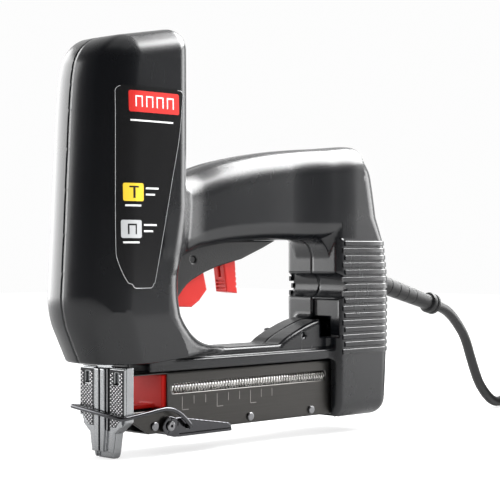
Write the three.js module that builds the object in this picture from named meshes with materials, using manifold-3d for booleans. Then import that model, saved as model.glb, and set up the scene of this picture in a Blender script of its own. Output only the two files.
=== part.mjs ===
// A corded electric staple gun. Millimetres, +Z up, +X to the rear, -Y is the tool's left side.
// x = 0 lies just behind the nose plate while drawing; the group is shifted by MID at the end
// so that the origin is under the middle of the tool, level with the tip of the nose.
import * as THREE from 'three';
import { mergeVertices } from 'three/addons/utils/BufferGeometryUtils.js';
import Module from 'manifold-3d';

const wasm = await Module();
wasm.setup();

// ---------- driving dimensions ----------
const GAP = 0.3; // clearance between neighbouring pieces
const WALL = 2.6; // housing wall
const TOWER = { front: -29.6, low: 52.2 };
const GRIP = { half: 18.5, from: 24, to: 188 };
const COLUMN = { front: 167.5, rear: 219, half: 22.5, low: 9.5, grooveZ: 91.5, grooveR: 7.5 };
const BASE = { half: 17.5, low: 46.6, from: 18, to: 172 };
const RIB = { count: 16, pitch: 4.45, depth: 0.8, from: 117.5 };
const MAG = { half: 15, low: 12.3, high: 46, wall: 1.2, from: 5.8, to: 177 };
const WINDOW = { to: 33, low: 25.2 };
const SLOT = { from: 36, to: 163, z: 36.3, high: 5.6, spring: -10 };
const NOSE = { half: 19, top: 50, flange: 20.5, front: -1.4, back: 5.2, tipHalf: 7.6 };
const BLADE = { x: 0.95, thick: 1.1, half: 5.9, low: 28, high: 88, pin: 84 };
const SOLENOID = { x: 2.6, bore: 11.8, low: 100, high: 166, reach: 20.6, half: 15.5 };
const PLUNGER = { r: 11.2, low: 124, high: 200, neck: 4.2 };
const PIVOT = { trigger: [90, 125], lock: [57.5, 108], latch: [33, 16.2], bail: [46, 15.2] };
const LATCH = { inner: 16, thick: 1.5, low: 9.8, tail: 80 };
const WIRE = { r: 1.1, half: 20.6 };
const RELIEF = { x: 210.5, z: 97.5, tilt: THREE.MathUtils.degToRad(15), length: 83.7, r: 6, end: 5.1 };
const CORD = { r: 3.5, sides: 8 };
const COIL = { x: 422, y: -20, mean: 35, thick: 21.4, low: 1, high: 29.3 };
const MID = (TOWER.front + COLUMN.rear) / 2;

// ---------- finishes ----------
const finish = (color, roughness, metalness) => () =>
  new THREE.MeshStandardMaterial({ color, roughness, metalness });
const shellPlastic = finish(0x3a3c3f, 0.5, 0);
const blackPlastic = finish(0x0d0d0e, 0.6, 0);
const redPlastic = finish(0xd8241a, 0.45, 0);
const labelFilm = finish(0x1d1e20, 0.25, 0);
const satinSteel = finish(0x54565a, 0.4, 0.9);
const brightSteel = finish(0xc2c4c6, 0.25, 1);
const rubber = finish(0x101011, 0.8, 0);
const copper = finish(0xa8613a, 0.35, 1);
const brass = finish(0xc8a24a, 0.3, 1);
const greenBoard = finish(0x1e5a38, 0.5, 0);

// ---------- solids ----------
const solid = (geometry) => {
  const bare = geometry.clone();
  bare.deleteAttribute('normal');
  bare.deleteAttribute('uv');
  const merged = mergeVertices(bare, 1e-4);
  return new wasm.Manifold(new wasm.Mesh({
    numProp: 3,
    vertProperties: new Float32Array(merged.attributes.position.array),
    triVerts: new Uint32Array(merged.index.array),
  }));
};
const geometryOf = (body) => {
  const mesh = body.getMesh();
  const geometry = new THREE.BufferGeometry();
  geometry.setAttribute('position', new THREE.BufferAttribute(mesh.vertProperties, 3));
  geometry.setIndex(new THREE.BufferAttribute(mesh.triVerts, 1));
  geometry.computeVertexNormals();
  return geometry;
};
const all = (bodies) => bodies.reduce((sum, body) => sum.add(body));
const cut = (body, ...tools) => tools.reduce((rest, tool) => rest.subtract(tool), body);

// An outline from corners [a, b, radius]; a corner with no radius stays sharp.
const cornered = (corners, step = 24) => {
  const points = [];
  const n = corners.length;
  corners.forEach(([x, y, r = 0], i) => {
    const here = new THREE.Vector2(x, y);
    if (!r) return points.push(here);
    const before = new THREE.Vector2(...corners[(i + n - 1) % n].slice(0, 2)).sub(here).normalize();
    const after = new THREE.Vector2(...corners[(i + 1) % n].slice(0, 2)).sub(here).normalize();
    const half = Math.acos(THREE.MathUtils.clamp(before.dot(after), -1, 1)) / 2;
    const reach = r / Math.tan(half);
    const middle = before.clone().add(after).normalize().multiplyScalar(r / Math.sin(half)).add(here);
    const a = before.clone().multiplyScalar(reach).add(here).sub(middle);
    const b = after.clone().multiplyScalar(reach).add(here).sub(middle);
    const sweep = Math.atan2(a.cross(b), a.dot(b));
    const parts = Math.max(1, Math.ceil(Math.abs(THREE.MathUtils.radToDeg(sweep)) / step));
    for (let k = 0; k <= parts; k++) {
      points.push(a.clone().rotateAround(new THREE.Vector2(), (sweep * k) / parts).add(middle));
    }
    return points;
  });
  return new THREE.Shape(points);
};
const circle = (a, b, r, sides = 20) => new THREE.Shape(
  Array.from({ length: sides }, (_, i) => {
    const t = (2 * Math.PI * i) / sides;
    return new THREE.Vector2(a + r * Math.cos(t), b + r * Math.sin(t));
  }));
const prism = (shape, depth, steps = 1) =>
  new THREE.ExtrudeGeometry(shape, { depth, steps, bevelEnabled: false, curveSegments: 12 });
const AXES = {
  x: new THREE.Matrix4().set(0, 0, 1, 0, 1, 0, 0, 0, 0, 1, 0, 0, 0, 0, 0, 1),
  y: new THREE.Matrix4().set(1, 0, 0, 0, 0, 0, -1, 0, 0, 1, 0, 0, 0, 0, 0, 1),
};
// A flat outline drawn square to an axis, from one place on it to another.
const alongX = (shape, x0, x1) => solid(prism(shape, x1 - x0).applyMatrix4(AXES.x).translate(x0, 0, 0));
const alongY = (shape, y0, y1) => solid(prism(shape, y1 - y0).applyMatrix4(AXES.y).translate(0, y1, 0));
const box = (x0, x1, y0, y1, z0, z1) => solid(new THREE.BoxGeometry(x1 - x0, y1 - y0, z1 - z0)
  .translate((x0 + x1) / 2, (y0 + y1) / 2, (z0 + z1) / 2));
const rodY = (x, z, r, y0, y1, sides = 20) => alongY(circle(x, z, r, sides), y0, y1);
const rodX = (y, z, r, x0, x1, sides = 20) => alongX(circle(y, z, r, sides), x0, x1);
// A turned solid standing on Z at (x, y); rings are [radius, z] from bottom to top.
const turned = (rings, x = 0, y = 0, sides = 28) => solid(new THREE.LatheGeometry(
  rings.map(([r, z]) => new THREE.Vector2(r, z)), sides).rotateX(Math.PI / 2).translate(x, y, 0));
const tube = (inner, outer, z0, z1, x = 0, y = 0, sides = 28) =>
  turned([[inner, z0], [outer, z0], [outer, z1], [inner, z1], [inner, z0]], x, y, sides);

// A value that runs through given [place, value] pairs in straight lines.
const through = (pairs) => (at) => {
  const i = Math.max(0, Math.min(pairs.length - 2, pairs.findIndex(([p]) => p > at) - 1));
  const k = at >= pairs[pairs.length - 1][0] ? pairs.length - 2 : i;
  const [[p0, v0], [p1, v1]] = [pairs[k], pairs[k + 1]];
  return v0 + ((v1 - v0) * (at - p0)) / (p1 - p0);
};

// A body whose section is one outline in a unit square, fitted at each station between two edges
// (low and high) and a half width. `axis` x: the edges are heights; z: the edges are front and rear.
const fitted = (axis, unit, from, to, steps, low, high, half) => {
  const geometry = prism(unit, to - from, steps);
  const p = geometry.attributes.position;
  for (let i = 0; i < p.count; i++) {
    const at = from + p.getZ(i);
    const [a, b] = [low(at), high(at)];
    const across = p.getX(i) * half(at);
    const along = (a + b) / 2 + (p.getY(i) * (b - a)) / 2;
    if (axis === 'x') p.setXYZ(i, at, across, along);
    else p.setXYZ(i, along, -across, at);
  }
  return solid(geometry);
};

// ---------- housing ----------
const towerFront = through([[40, -14], [52.2, -17.2], [79, -29.6], [120, -27.2], [160, -25.2],
  [205, -22.2], [221, -18.9], [240, -10]]);
const towerRear = through([[40, 37.5], [140, 39.4], [200, 41], [240, 43]]);
const towerHalf = through([[40, 24.5], [80, 29.5], [150, 28.8], [215, 27], [228, 23], [240, 16]]);
const towerUnit = cornered([[-1, 1, 0.34], [-1, -0.72, 0.28], [-0.55, -0.93], [0, -1], [0.55, -0.93],
  [1, -0.72, 0.28], [1, 1, 0.34]], 30);
const tower = (w) => fitted('z', towerUnit, TOWER.low + w, 238, w ? 6 : 10,
  (z) => towerFront(z) + w, (z) => towerRear(z) - w, (z) => towerHalf(z) - w)
  .intersect(alongY(cornered([[-60, 40], [80, 40], [80, 241.9 - w], [36, 236 - w, 9],
    [-30, 226.6 - w]]), -40, 40));

const gripTop = through([[20, 147], [40, 153.5], [60, 159], [76, 163.7], [95, 167.7], [114, 171],
  [141, 174.3], [168, 176.5], [190, 177.8]]);
const gripLow = through([[20, 106], [46, 109.6], [62, 114.2], [86, 117.6], [118, 119.3], [190, 119.7]]);
const gripHalf = through([[20, 23], [44, 20], [60, GRIP.half], [140, GRIP.half], [172, 21.8], [190, 22]]);
const gripUnit = cornered([[-1, -1, 0.42], [1, -1, 0.42], [1, 1, 0.62], [-1, 1, 0.62]], 30);
const grip = (w) => fitted('x', gripUnit, GRIP.from, GRIP.to, w ? 5 : 9,
  (x) => gripLow(x) + w, (x) => gripTop(x) - w, (x) => gripHalf(x) - w);

const columnRear = through([[5, 207], [9.5, 209.5], [13, 213], [20, 216], [32, 217.8], [55, 218.8],
  [90, 219], [112, 216.4], [137, 211.6], [152, 209], [162, 206.6], [170, 200], [175, 192], [178.4, 180]]);
const columnFront = through([[5, COLUMN.front], [119, COLUMN.front], [125, 181], [180, 181]]);
const columnHalf = through([[5, 19], [14, 21.5], [40, COLUMN.half], [140, COLUMN.half], [160, 20.5],
  [170, 17], [178.4, 9]]);
const columnUnit = cornered([[-1, -1, 0.14], [1, -1, 0.14], [1, 1, 0.42], [-1, 1, 0.42]], 36);
const column = (w) => cut(
  fitted('z', columnUnit, COLUMN.low + w, 178.4 - w, 15, (z) => columnFront(z) + w,
    (z) => columnRear(z) - w, (z) => columnHalf(z) - w),
  rodY(COLUMN.front - 0.8, COLUMN.grooveZ, COLUMN.grooveR + w, -30, 30, 18));

const baseTop = through([[18, 57.3], [124, 57.3], [130, 60.4], [136.5, 63.3], [142, 65.4], [148, 67.6],
  [158, 70.4], [172, 72.5]]);
const baseUnit = cornered([[-1, -1, 0.06], [1, -1, 0.06], [1, 1, 0.3], [-1, 1, 0.3]], 45);
const base = (w) => fitted('x', baseUnit, BASE.from, BASE.to, w ? 6 : 12,
  () => BASE.low + w, (x) => baseTop(x) - w, () => BASE.half - w);

// The skirt that narrows from the tower down on to the base.
const skirtTop = through([[26, 118], [37, 112], [40.5, 84], [43, 77], [48, 70.5], [56, 65], [65, 60.8],
  [77, 57.4]]);
const skirtHalf = through([[26, 26.4], [37, 25.4], [44, 23.5], [56, 20.4], [77, 16.4]]);
const skirt = (w) => fitted('x', baseUnit, 26, 77 - w, w ? 5 : 10,
  () => BASE.low + w, (x) => skirtTop(x) - w, (x) => skirtHalf(x) - w);

// Raised bars across both sides of the rear column.
const gripRibs = (side) => all(Array.from({ length: RIB.count }, (_, i) => {
  const z = RIB.from - i * RIB.pitch;
  const nose = i % 2 ? 172.5 : 174.5;
  const outline = cornered([[nose, z - 1], [207, z - 1], [207, z + 1], [nose, z + 1], [nose - 1.6, z]]);
  return side < 0 ? alongY(outline, -COLUMN.half - RIB.depth, -COLUMN.half + 1)
    : alongY(outline, COLUMN.half - 1, COLUMN.half + RIB.depth);
}));

const SCREWS = [[-8, 212], [29, 214], [24, 70], [122, 133], [196, 158], [186, 66], [145, 62]];
const boss = ([x, z]) => rodY(x, z, 4, -35, 35, 10);

const shell = () => {
  const outer = all([tower(0), grip(0), column(0), base(0), skirt(0)]);
  const inner = all([tower(WALL), grip(WALL), column(WALL), base(WALL),
    skirt(WALL), box(160, 184, -14, 14, 124, 168), box(160, 172, -12, 12, 50, 66)]);
  const within = outer.intersect(all(SCREWS.map(boss)));
  const bosses = cut(within, magazineRoom(), solenoidRoom());
  return cut(outer.subtract(inner).add(bosses),
    magazineRoom(), noseRoom(), shroudRoom(), reliefRoom());
};
// Spaces in the housing for what comes through it or sits inside it.
const magazineRoom = () => box(-4, MAG.to + 0.5, -MAG.half - 0.5, MAG.half + 0.5, 6, MAG.high + 0.4);
const noseRoom = () => box(-3.4, 9.4, -NOSE.half - 0.4, NOSE.half + 0.4, 40, 56.2);
const solenoidRoom = () => box(-21.5, 26.7, -20, 20, 90, 206);
const shroudRoom = () => box(37, 126, -9.9, 9.9, 74, 122);
const reliefRoom = () => reliefAlong(cylinderZ(RELIEF.r + 0.5, 2, 30));
const cylinderZ = (r, z0, z1) => turned([[0, z0], [r, z0], [r, z1], [0, z1]], 0, 0, 20);
const screwRoom = ([x, z]) => all([rodY(x, z, 1.7, -13, 60, 8), rodY(x, z, 3.7, 15.5, 60, 12)]);

const housing = (side) => {
  const half = side < 0 ? box(-80, 320, -60, -GAP / 2, -10, 300) : box(-80, 320, GAP / 2, 60, -10, 300);
  return cut(shell().add(gripRibs(side)).intersect(half), ...SCREWS.map(screwRoom));
};
const housingScrew = ([x, z]) => all([rodY(x, z, 1.4, -12.6, 17.6, 10), rodY(x, z, 3.2, 16, 18.4, 14)])
  .subtract(rodY(x, z, 1.2, 17.4, 20, 6));

// A thin film on the left side of the tower, bent to follow it.
const label = () => {
  const outline = cornered([[-12.5, 195.5, 4], [33.5, 193.5, 4], [26, 150, 20], [17, 92.5, 5],
    [-4, 92.5, 5], [-14.5, 112, 4]]);
  const film = (w) => fitted('z', towerUnit, 80, 205, 5, (z) => towerFront(z) - w,
    (z) => towerRear(z) + w, (z) => towerHalf(z) + w);
  return film(0.9).subtract(film(0.3)).intersect(alongY(outline, -40, -20));
};

// ---------- trigger group ----------
const slotRoom = () => all([box(79.5, 104, -5.2, 5.2, 90, 125), box(44.5, 74, -6.1, 6.1, 70, 125)]);
const triggerShroud = () => alongY(cornered([[41.8, 84], [45, 84], [50, 90.5, 8], [57, 96, 14],
  [67, 100.5, 30], [77, 103.8, 40], [97, 108.2], [115, 114.8], [125.6, 119.2], [40.4, 119.2],
  [40.4, 104]]), -9.5, 9.5).subtract(slotRoom()).subtract(rodY(...PIVOT.lock, 2.1, -12, 12, 14));
const trigger = () => cut(alongY(cornered([[86.6, 104], [88.8, 89, 2], [97.3, 88, 1.5], [95.5, 108],
  [100, 122, 2], [98, 131, 4], [86, 131, 4], [85, 114, 3]]), -4.8, 4.8),
rodY(...PIVOT.trigger, 2.1, -8, 8, 14), box(80, 90.5, -1.3, 1.3, 97, 108));
const triggerLock = () => cut(alongY(cornered([[46.8, 86], [50.2, 81.2, 1], [60, 80.8, 1], [66, 84.4, 2],
  [71.9, 90.6, 1], [69.4, 100], [63, 111, 3], [53.5, 113.4, 4], [50, 104, 2]]), -5.7, 5.7),
rodY(...PIVOT.lock, 2.1, -8, 8, 14));
const pinY = ([x, z], r, half) => rodY(x, z, r, -half, half, 14);
const triggerSpring = () => cut(rodY(...PIVOT.trigger, 3.6, 6.1, 9, 16),
  rodY(...PIVOT.trigger, 2.1, 5, 10, 16));
const triggerSwitch = () => box(101.5, 116, -5.5, 5.5, 122.8, 133);
const circuitBoard = () => box(58, 118, -11.5, 11.5, 142, 143.6);
const powerModule = () => box(64, 84, -8, 8, 143.9, 153);

// ---------- solenoid and driver ----------
const solenoidFrame = () => {
  const { x, reach, half, low, high } = SOLENOID;
  return cut(box(x - reach, x + reach, -half, half, low, high),
    box(x - reach + 2.4, x + reach - 2.4, -25, 25, low + 3, high - 3),
    cylinderZ(SOLENOID.bore + 0.4, 90, 180).translate([x, 0, 0]));
};
const bobbin = () => turned([[11.8, 103.4], [18, 103.4], [18, 105], [13, 105], [13, 161], [18, 161],
  [18, 162.6], [11.8, 162.6], [11.8, 103.4]], SOLENOID.x, 0);
const winding = () => tube(13.3, 17.6, 105.3, 160.7, SOLENOID.x, 0);
const driverSlot = (grow) => box(BLADE.x - 0.55 - grow, BLADE.x + 0.55 + grow, -9, 9, 60, BLADE.high + grow);
const driverPinRoom = (grow) => rodX(0, BLADE.pin, 1.2 + grow, -6, 12, 12);
const plunger = () => cut(turned([[0, 80], [PLUNGER.neck, 80], [PLUNGER.neck, PLUNGER.low],
  [PLUNGER.r, PLUNGER.low], [PLUNGER.r, PLUNGER.high], [15, PLUNGER.high], [15, 204], [0, 204]],
SOLENOID.x, 0), driverSlot(GAP), driverPinRoom(GAP));
const plungerSpring = () => tube(11.9, 14.2, SOLENOID.high + 0.3, PLUNGER.high - 0.3, SOLENOID.x, 0);
const bumper = () => tube(4.8, 13, 93, 99.7, SOLENOID.x, 0);
const driverBlade = () => box(BLADE.x - BLADE.thick / 2, BLADE.x + BLADE.thick / 2, -BLADE.half, BLADE.half,
  BLADE.low, BLADE.high).subtract(driverPinRoom(GAP));
const driverPin = () => rodX(0, BLADE.pin, 1.2, SOLENOID.x - 3.6, SOLENOID.x + 3.6, 12);

// ---------- nose ----------
const noseOutline = (top = NOSE.top) => cornered([[-NOSE.half, top], [-NOSE.half, NOSE.flange, 1],
  [-12.2, 15.2, 1], [-10.4, 14], [-NOSE.tipHalf - 0.6, 2.5, 1.5], [-6.6, 0], [6.6, 0],
  [NOSE.tipHalf + 0.6, 2.5, 1.5], [10.4, 14], [12.2, 15.2, 1], [NOSE.half, NOSE.flange, 1], [NOSE.half, top]]);
const noseBody = () => cut(alongX(noseOutline(), 0.1, NOSE.back),
  box(0, 1.9, -6.6, 6.6, -5, 60), box(1, 8, -6.6, 6.6, 12.6, 32));
const nosePlate = () => {
  const plate = alongX(noseOutline(NOSE.top - 0.6), NOSE.front, -GAP + 0.1);
  const rib = alongX(cornered([[-5.4, 49.2], [-5.4, 16], [-3.4, 4], [3.4, 4], [5.4, 16], [5.4, 49.2]]),
    NOSE.front - 1, NOSE.front + 0.2);
  const slots = [-12.5, 12.5].map((y) => alongX(cornered([[y - 2, 40.4, 1], [y + 2, 40.4, 1],
    [y + 2, 47, 1], [y - 2, 47, 1]]), -5, 5));
  return cut(plate.add(rib), ...slots, box(-5, 5, -40, 40, -5, 3.6));
};

// ---------- magazine ----------
const magazineBody = () => cut(box(MAG.from, MAG.to, -MAG.half, MAG.half, MAG.low, MAG.high),
  box(0, MAG.to - 1.5, -MAG.half + MAG.wall, MAG.half - MAG.wall, MAG.low + MAG.wall, MAG.high - MAG.wall),
  box(0, WINDOW.to, -30, 30, WINDOW.low, MAG.high - MAG.wall),
  box(SLOT.from, SLOT.to, -30, 30, SLOT.z - SLOT.high / 2, SLOT.z + SLOT.high / 2),
  alongY(cornered([[0, 24.4], [0, 5], [20, 5], [19.6, MAG.low]]), -30, 30),
  rodY(...PIVOT.latch, 1.8, -30, 30, 14), ...RIVETS.map(([x, z]) => rodY(x, z, 1.6, -30, 30, 12)));
const RIVETS = [[23.4, 16.4], [97.6, 16.2], [150, 16.2]];
const stapleRail = () => cut(box(6.1, 170, -5.4, 5.4, 14, 24.9), box(0, 169, -4.2, 4.2, 10, 23.7),
  rodY(...PIVOT.latch, 1.8, -30, 30, 14), ...RIVETS.map(([x, z]) => rodY(x, z, 1.6, -30, 30, 12)));
const rivet = ([x, z]) => all([rodY(x, z, 1.3, -15.6, 15.6, 12), rodY(x, z, 2.4, -16.2, -15.2, 14),
  rodY(x, z, 2.4, 15.2, 16.2, 14)]);
const pusher = () => cut(alongY(cornered([[9.5, 25.5], [35.4, 25.5, 1.5], [35.4, 44.4, 1.5], [12, 44.4, 1]]),
  -12.9, 12.9), rodX(SLOT.spring, SLOT.z, 3.75, 0, 60, 16), box(0, 31, -20, 20, 27.4, 60));
const pusherSpring = () => cut(rodX(SLOT.spring, SLOT.z, 3.4, 36, 174, 16),
  rodX(SLOT.spring, SLOT.z, 2, 30, 180, 12));

// ---------- latch ----------
const earOutline = () => cornered([[32, 11], [34, 20.5], [46, 19.6, 1.2], [78, 14.6, 2],
  [LATCH.tail, LATCH.low], [36, LATCH.low]]);
const latchLever = () => {
  const ears = [-1, 1].map((s) => {
    const [y0, y1] = [s * LATCH.inner, s * (LATCH.inner + LATCH.thick)].sort((a, b) => a - b);
    return alongY(earOutline(), y0, y1).add(rodY(...PIVOT.latch, 5.2, y0, y1));
  });
  const web = box(39, LATCH.tail, -LATCH.inner - 0.5, LATCH.inner + 0.5, LATCH.low, LATCH.low + 1.4);
  return cut(all([...ears, web]), rodY(...PIVOT.latch, 1.9, -30, 30, 14),
    rodY(...PIVOT.bail, 1.5, -30, 30, 14));
};
const latchPin = () => all([pinY(PIVOT.latch, 1.5, 18.2), rodY(...PIVOT.latch, 2.8, -18.8, -17.9, 14),
  rodY(...PIVOT.latch, 2.8, 17.9, 18.8, 14)]);

// A round wire along corners that are eased into curves.
const wire = (corners, r, sides, steps, ease = 4) => {
  const path = new THREE.CurvePath();
  let last = corners[0];
  corners.forEach((c, i) => {
    if (i === 0) return;
    if (i === corners.length - 1) return path.add(new THREE.LineCurve3(last, c));
    const a = c.clone().add(corners[i - 1].clone().sub(c).setLength(ease));
    const b = c.clone().add(corners[i + 1].clone().sub(c).setLength(ease));
    path.add(new THREE.LineCurve3(last, a));
    path.add(new THREE.QuadraticBezierCurve3(a, c, b));
    last = b;
    return path;
  });
  return solid(new THREE.ExtrudeGeometry(circle(0, 0, r, sides), { steps, extrudePath: path }));
};
const wireBail = () => {
  const [x, z] = PIVOT.bail;
  const side = (s, front, high) => [[x, s * 15.9, z], [x, s * WIRE.half, z], [36.5, s * WIRE.half, 23.6],
    [27, s * WIRE.half, 26.4], [15, s * WIRE.half, 25], [front, s * WIRE.half, high]];
  const corners = [...side(-1, -4.4, 22.8), ...side(1, -6.8, 27.6).reverse()];
  return wire(corners.map((c) => new THREE.Vector3(...c)), WIRE.r, 6, 64, 2.6);
};

// ---------- cord ----------
const reliefAlong = (body) => body.rotate([0, 90 + THREE.MathUtils.radToDeg(RELIEF.tilt), 0])
  .translate([RELIEF.x, 0, RELIEF.z]);
const strainRelief = () => reliefAlong(turned([[0, 0], [8, 0], [8, 2.2], [RELIEF.r, 2.2], [RELIEF.r, 14],
  [RELIEF.end, 74], [7, 75], [7, 82.2], [6, RELIEF.length], [0, RELIEF.length]], 0, 0, 16));
const cordClamp = () => cut(box(196, 206, -9, 9, 92, 107), reliefAlong(cylinderZ(3.9, -30, 6)));
// The lead leaves level with its sleeve, bends down, levels out on the floor and runs to the coil.
const ROUTE = [[291.6, 0, 75.8], [297.4, 0, 74.2], [303.5, 0, 71.9], [309.2, 0, 68.5], [314.3, 0, 64.3],
  [319, 0, 59.8], [323.2, 0, 55], [326.6, 0, 49.8], [331.9, 0, 38.4], [337.4, 0, 27.2], [341.4, 0, 20.4],
  [346.4, 0, 14.6], [352.2, 0.2, 9.7], [358.8, 1.2, 6.3], [366, 3, 4.6], [373.5, 5.5, 4], [381, 8.5, 4]];
const powerCord = () => {
  const path = new THREE.CurvePath();
  const corners = ROUTE.map((c) => new THREE.Vector3(...c));
  corners.slice(1).forEach((c, i) => path.add(new THREE.LineCurve3(corners[i], c)));
  return solid(new THREE.ExtrudeGeometry(circle(0, 0, CORD.r, CORD.sides), { steps: 30, extrudePath: path }));
};
const cordCoil = () => {
  const [a, b] = [COIL.mean - COIL.thick / 2, COIL.mean + COIL.thick / 2];
  const c = 3;
  return turned([[a, COIL.low + c], [a + c, COIL.low], [b - c, COIL.low], [b, COIL.low + c],
    [b, COIL.high - c], [b - c, COIL.high], [a + c, COIL.high], [a, COIL.high - c], [a, COIL.low + c]],
  COIL.x, COIL.y, 28);
};
const cordTie = () => {
  const [x0, x1] = [COIL.x + COIL.mean - COIL.thick / 2 - 0.8, COIL.x + COIL.mean + COIL.thick / 2 + 0.8];
  return cut(box(x0 - 0.7, x1 + 0.7, COIL.y - 5, COIL.y + 5, COIL.low - GAP - 0.7, COIL.high + GAP + 0.7),
    box(x0, x1, COIL.y - 9, COIL.y + 9, COIL.low - GAP, COIL.high + GAP));
};
const PLUG = { tail: COIL.x - 10, y: COIL.y - COIL.mean, z: COIL.high + 9, back: 38 };
const plugBody = () => {
  const { tail, y, z, back } = PLUG;
  const outline = [[y - 12, z - 8, 4], [y + 12, z - 8, 4], [y + 12, z + 8, 4], [y - 12, z + 8, 4]];
  const grip = alongX(cornered(outline), tail - back, tail - 12);
  return cut(grip.add(rodX(y, z, 5.2, tail - 13, tail, 16)), ...[-1, 1].map((s) => bladeBox(s, 0.3)));
};
const bladeBox = (s, grow) => box(PLUG.tail - PLUG.back - 17, PLUG.tail - PLUG.back + 8 + grow,
  PLUG.y + s * 6.35 - 0.75 - grow, PLUG.y + s * 6.35 + 0.75 + grow, PLUG.z - 3.1 - grow, PLUG.z + 3.1 + grow);

// ---------- assembly ----------
const group = new THREE.Group();
group.name = 'staple_gun';
const place = (name, body, material) => {
  const mesh = new THREE.Mesh(geometryOf(body.translate([-MID, 0, 0])), material());
  mesh.name = name;
  group.add(mesh);
};
const placeHousing = () => {
  place('housing_left', housing(-1), shellPlastic);
  place('housing_right', housing(1), shellPlastic);
  SCREWS.forEach((at, i) => place(`housing_screw_${i + 1}`, housingScrew(at), satinSteel));
  place('side_label', label(), labelFilm);
};
const placeTrigger = () => {
  place('trigger_shroud', triggerShroud(), blackPlastic);
  place('trigger', trigger(), redPlastic);
  place('trigger_pin', pinY(PIVOT.trigger, 1.8, 13.8), satinSteel);
  place('trigger_spring', triggerSpring(), brightSteel);
  place('trigger_lock', triggerLock(), redPlastic);
  place('trigger_lock_pin', pinY(PIVOT.lock, 1.8, 9), satinSteel);
  place('trigger_switch', triggerSwitch(), blackPlastic);
  place('circuit_board', circuitBoard(), greenBoard);
  place('power_module', powerModule(), blackPlastic);
};
const placeDrive = () => {
  place('solenoid_frame', solenoidFrame(), satinSteel);
  place('coil_bobbin', bobbin(), blackPlastic);
  place('coil_winding', winding(), copper);
  place('plunger', plunger(), brightSteel);
  place('plunger_spring', plungerSpring(), brightSteel);
  place('plunger_bumper', bumper(), rubber);
  place('driver_blade', driverBlade(), brightSteel);
  place('driver_pin', driverPin(), satinSteel);
};
const placeNose = () => {
  place('nose_body', noseBody(), brightSteel);
  place('nose_plate', nosePlate(), brightSteel);
  place('wire_bail', wireBail(), brightSteel);
  place('latch_lever', latchLever(), brightSteel);
  place('latch_pin', latchPin(), satinSteel);
};
const placeMagazine = () => {
  place('magazine_body', magazineBody(), satinSteel);
  place('staple_rail', stapleRail(), brightSteel);
  RIVETS.forEach((at, i) => place(`magazine_rivet_${i + 1}`, rivet(at), satinSteel));
  place('pusher', pusher(), redPlastic);
  place('pusher_spring', pusherSpring(), brightSteel);
};
const placeCord = () => {
  place('cord_clamp', cordClamp(), blackPlastic);
  place('strain_relief', strainRelief(), rubber);
  place('power_cord', powerCord(), rubber);
  place('cord_coil', cordCoil(), rubber);
  place('cord_tie', cordTie(), blackPlastic);
  place('plug_body', plugBody(), rubber);
  [-1, 1].forEach((s, i) => place(`plug_blade_${i + 1}`, bladeBox(s, 0), brass));
};
placeHousing();
placeTrigger();
placeDrive();
placeNose();
placeMagazine();
placeCord();

export default group;
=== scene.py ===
"""A corded electric staple gun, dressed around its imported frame.

Sizes are in millimetres on the maker's drawing: x runs from just behind the nose plate to the
rear, y to the tool's right, z up from the tip of the nose. They are turned into metres in the
frame's own axes when a mesh is made.
"""
import logging
import math
from collections.abc import Callable, Sequence
from dataclasses import dataclass, field
from enum import Enum

import bpy
import numpy as np
from mathutils import Matrix, Vector


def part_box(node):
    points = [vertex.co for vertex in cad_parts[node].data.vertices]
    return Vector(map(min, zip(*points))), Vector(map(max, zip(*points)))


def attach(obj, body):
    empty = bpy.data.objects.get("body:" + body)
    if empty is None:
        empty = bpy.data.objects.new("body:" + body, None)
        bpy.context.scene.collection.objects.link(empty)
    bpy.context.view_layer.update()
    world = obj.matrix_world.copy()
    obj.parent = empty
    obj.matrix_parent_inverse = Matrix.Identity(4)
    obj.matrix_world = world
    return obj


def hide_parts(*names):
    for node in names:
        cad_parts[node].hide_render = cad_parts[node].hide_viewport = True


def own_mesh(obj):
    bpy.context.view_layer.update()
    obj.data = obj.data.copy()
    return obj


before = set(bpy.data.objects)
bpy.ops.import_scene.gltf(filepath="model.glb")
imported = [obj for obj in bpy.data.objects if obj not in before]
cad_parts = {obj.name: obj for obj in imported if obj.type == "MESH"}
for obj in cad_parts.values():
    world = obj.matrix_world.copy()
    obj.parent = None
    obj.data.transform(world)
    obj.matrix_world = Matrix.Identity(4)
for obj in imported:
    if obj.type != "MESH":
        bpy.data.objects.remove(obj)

log = logging.getLogger("staple_gun")
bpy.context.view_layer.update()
MM = 0.001
MIDDLE_X = 94.7  # the drawing's x above the frame's origin
Array = np.ndarray
Shape = Callable[[Array], Array]
Point = tuple[float, float, float]
Corner = tuple[float, float]


class Axis(Enum):
    """A direction of the drawing, with the two others in turn."""

    X = (0, 1, 2)
    Y = (1, 0, 2)
    Z = (2, 0, 1)


class Side(Enum):
    """A side of the tool; its value is the sign of y there."""

    LEFT = -1
    RIGHT = 1


# ---------- rounded solids as distance fields ----------
def rounded_max(a: Array, b: Array, r: float | Array) -> Array:
    """Meets two surfaces in a rounded outer edge.

    Args:
        a: Distances to one surface.
        b: Distances to the other.
        r: Radius of the edge, the same everywhere or one for each point; 0 leaves it sharp.

    Returns:
        Distances to the solid inside both.
    """
    corner = np.hypot(np.maximum(a + r, 0), np.maximum(b + r, 0))
    return np.minimum(np.maximum(a, b), -r) + corner


def both(*shapes: Shape, ease: float = 0.0) -> Shape:
    """Returns the solid inside all the shapes, with outer edges of radius `ease`."""

    def run(p: Array) -> Array:
        """Measures the distance at points."""
        d = shapes[0](p)
        for shape in shapes[1:]:
            d = rounded_max(d, shape(p), ease)
        return d

    return run


def either(*shapes: Shape, ease: float = 0.0) -> Shape:
    """Returns the shapes joined, with inner fillets of radius `ease`."""

    def run(p: Array) -> Array:
        """Measures the distance at points."""
        d = -shapes[0](p)
        for shape in shapes[1:]:
            d = rounded_max(d, -shape(p), ease)
        return -d

    return run


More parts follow.
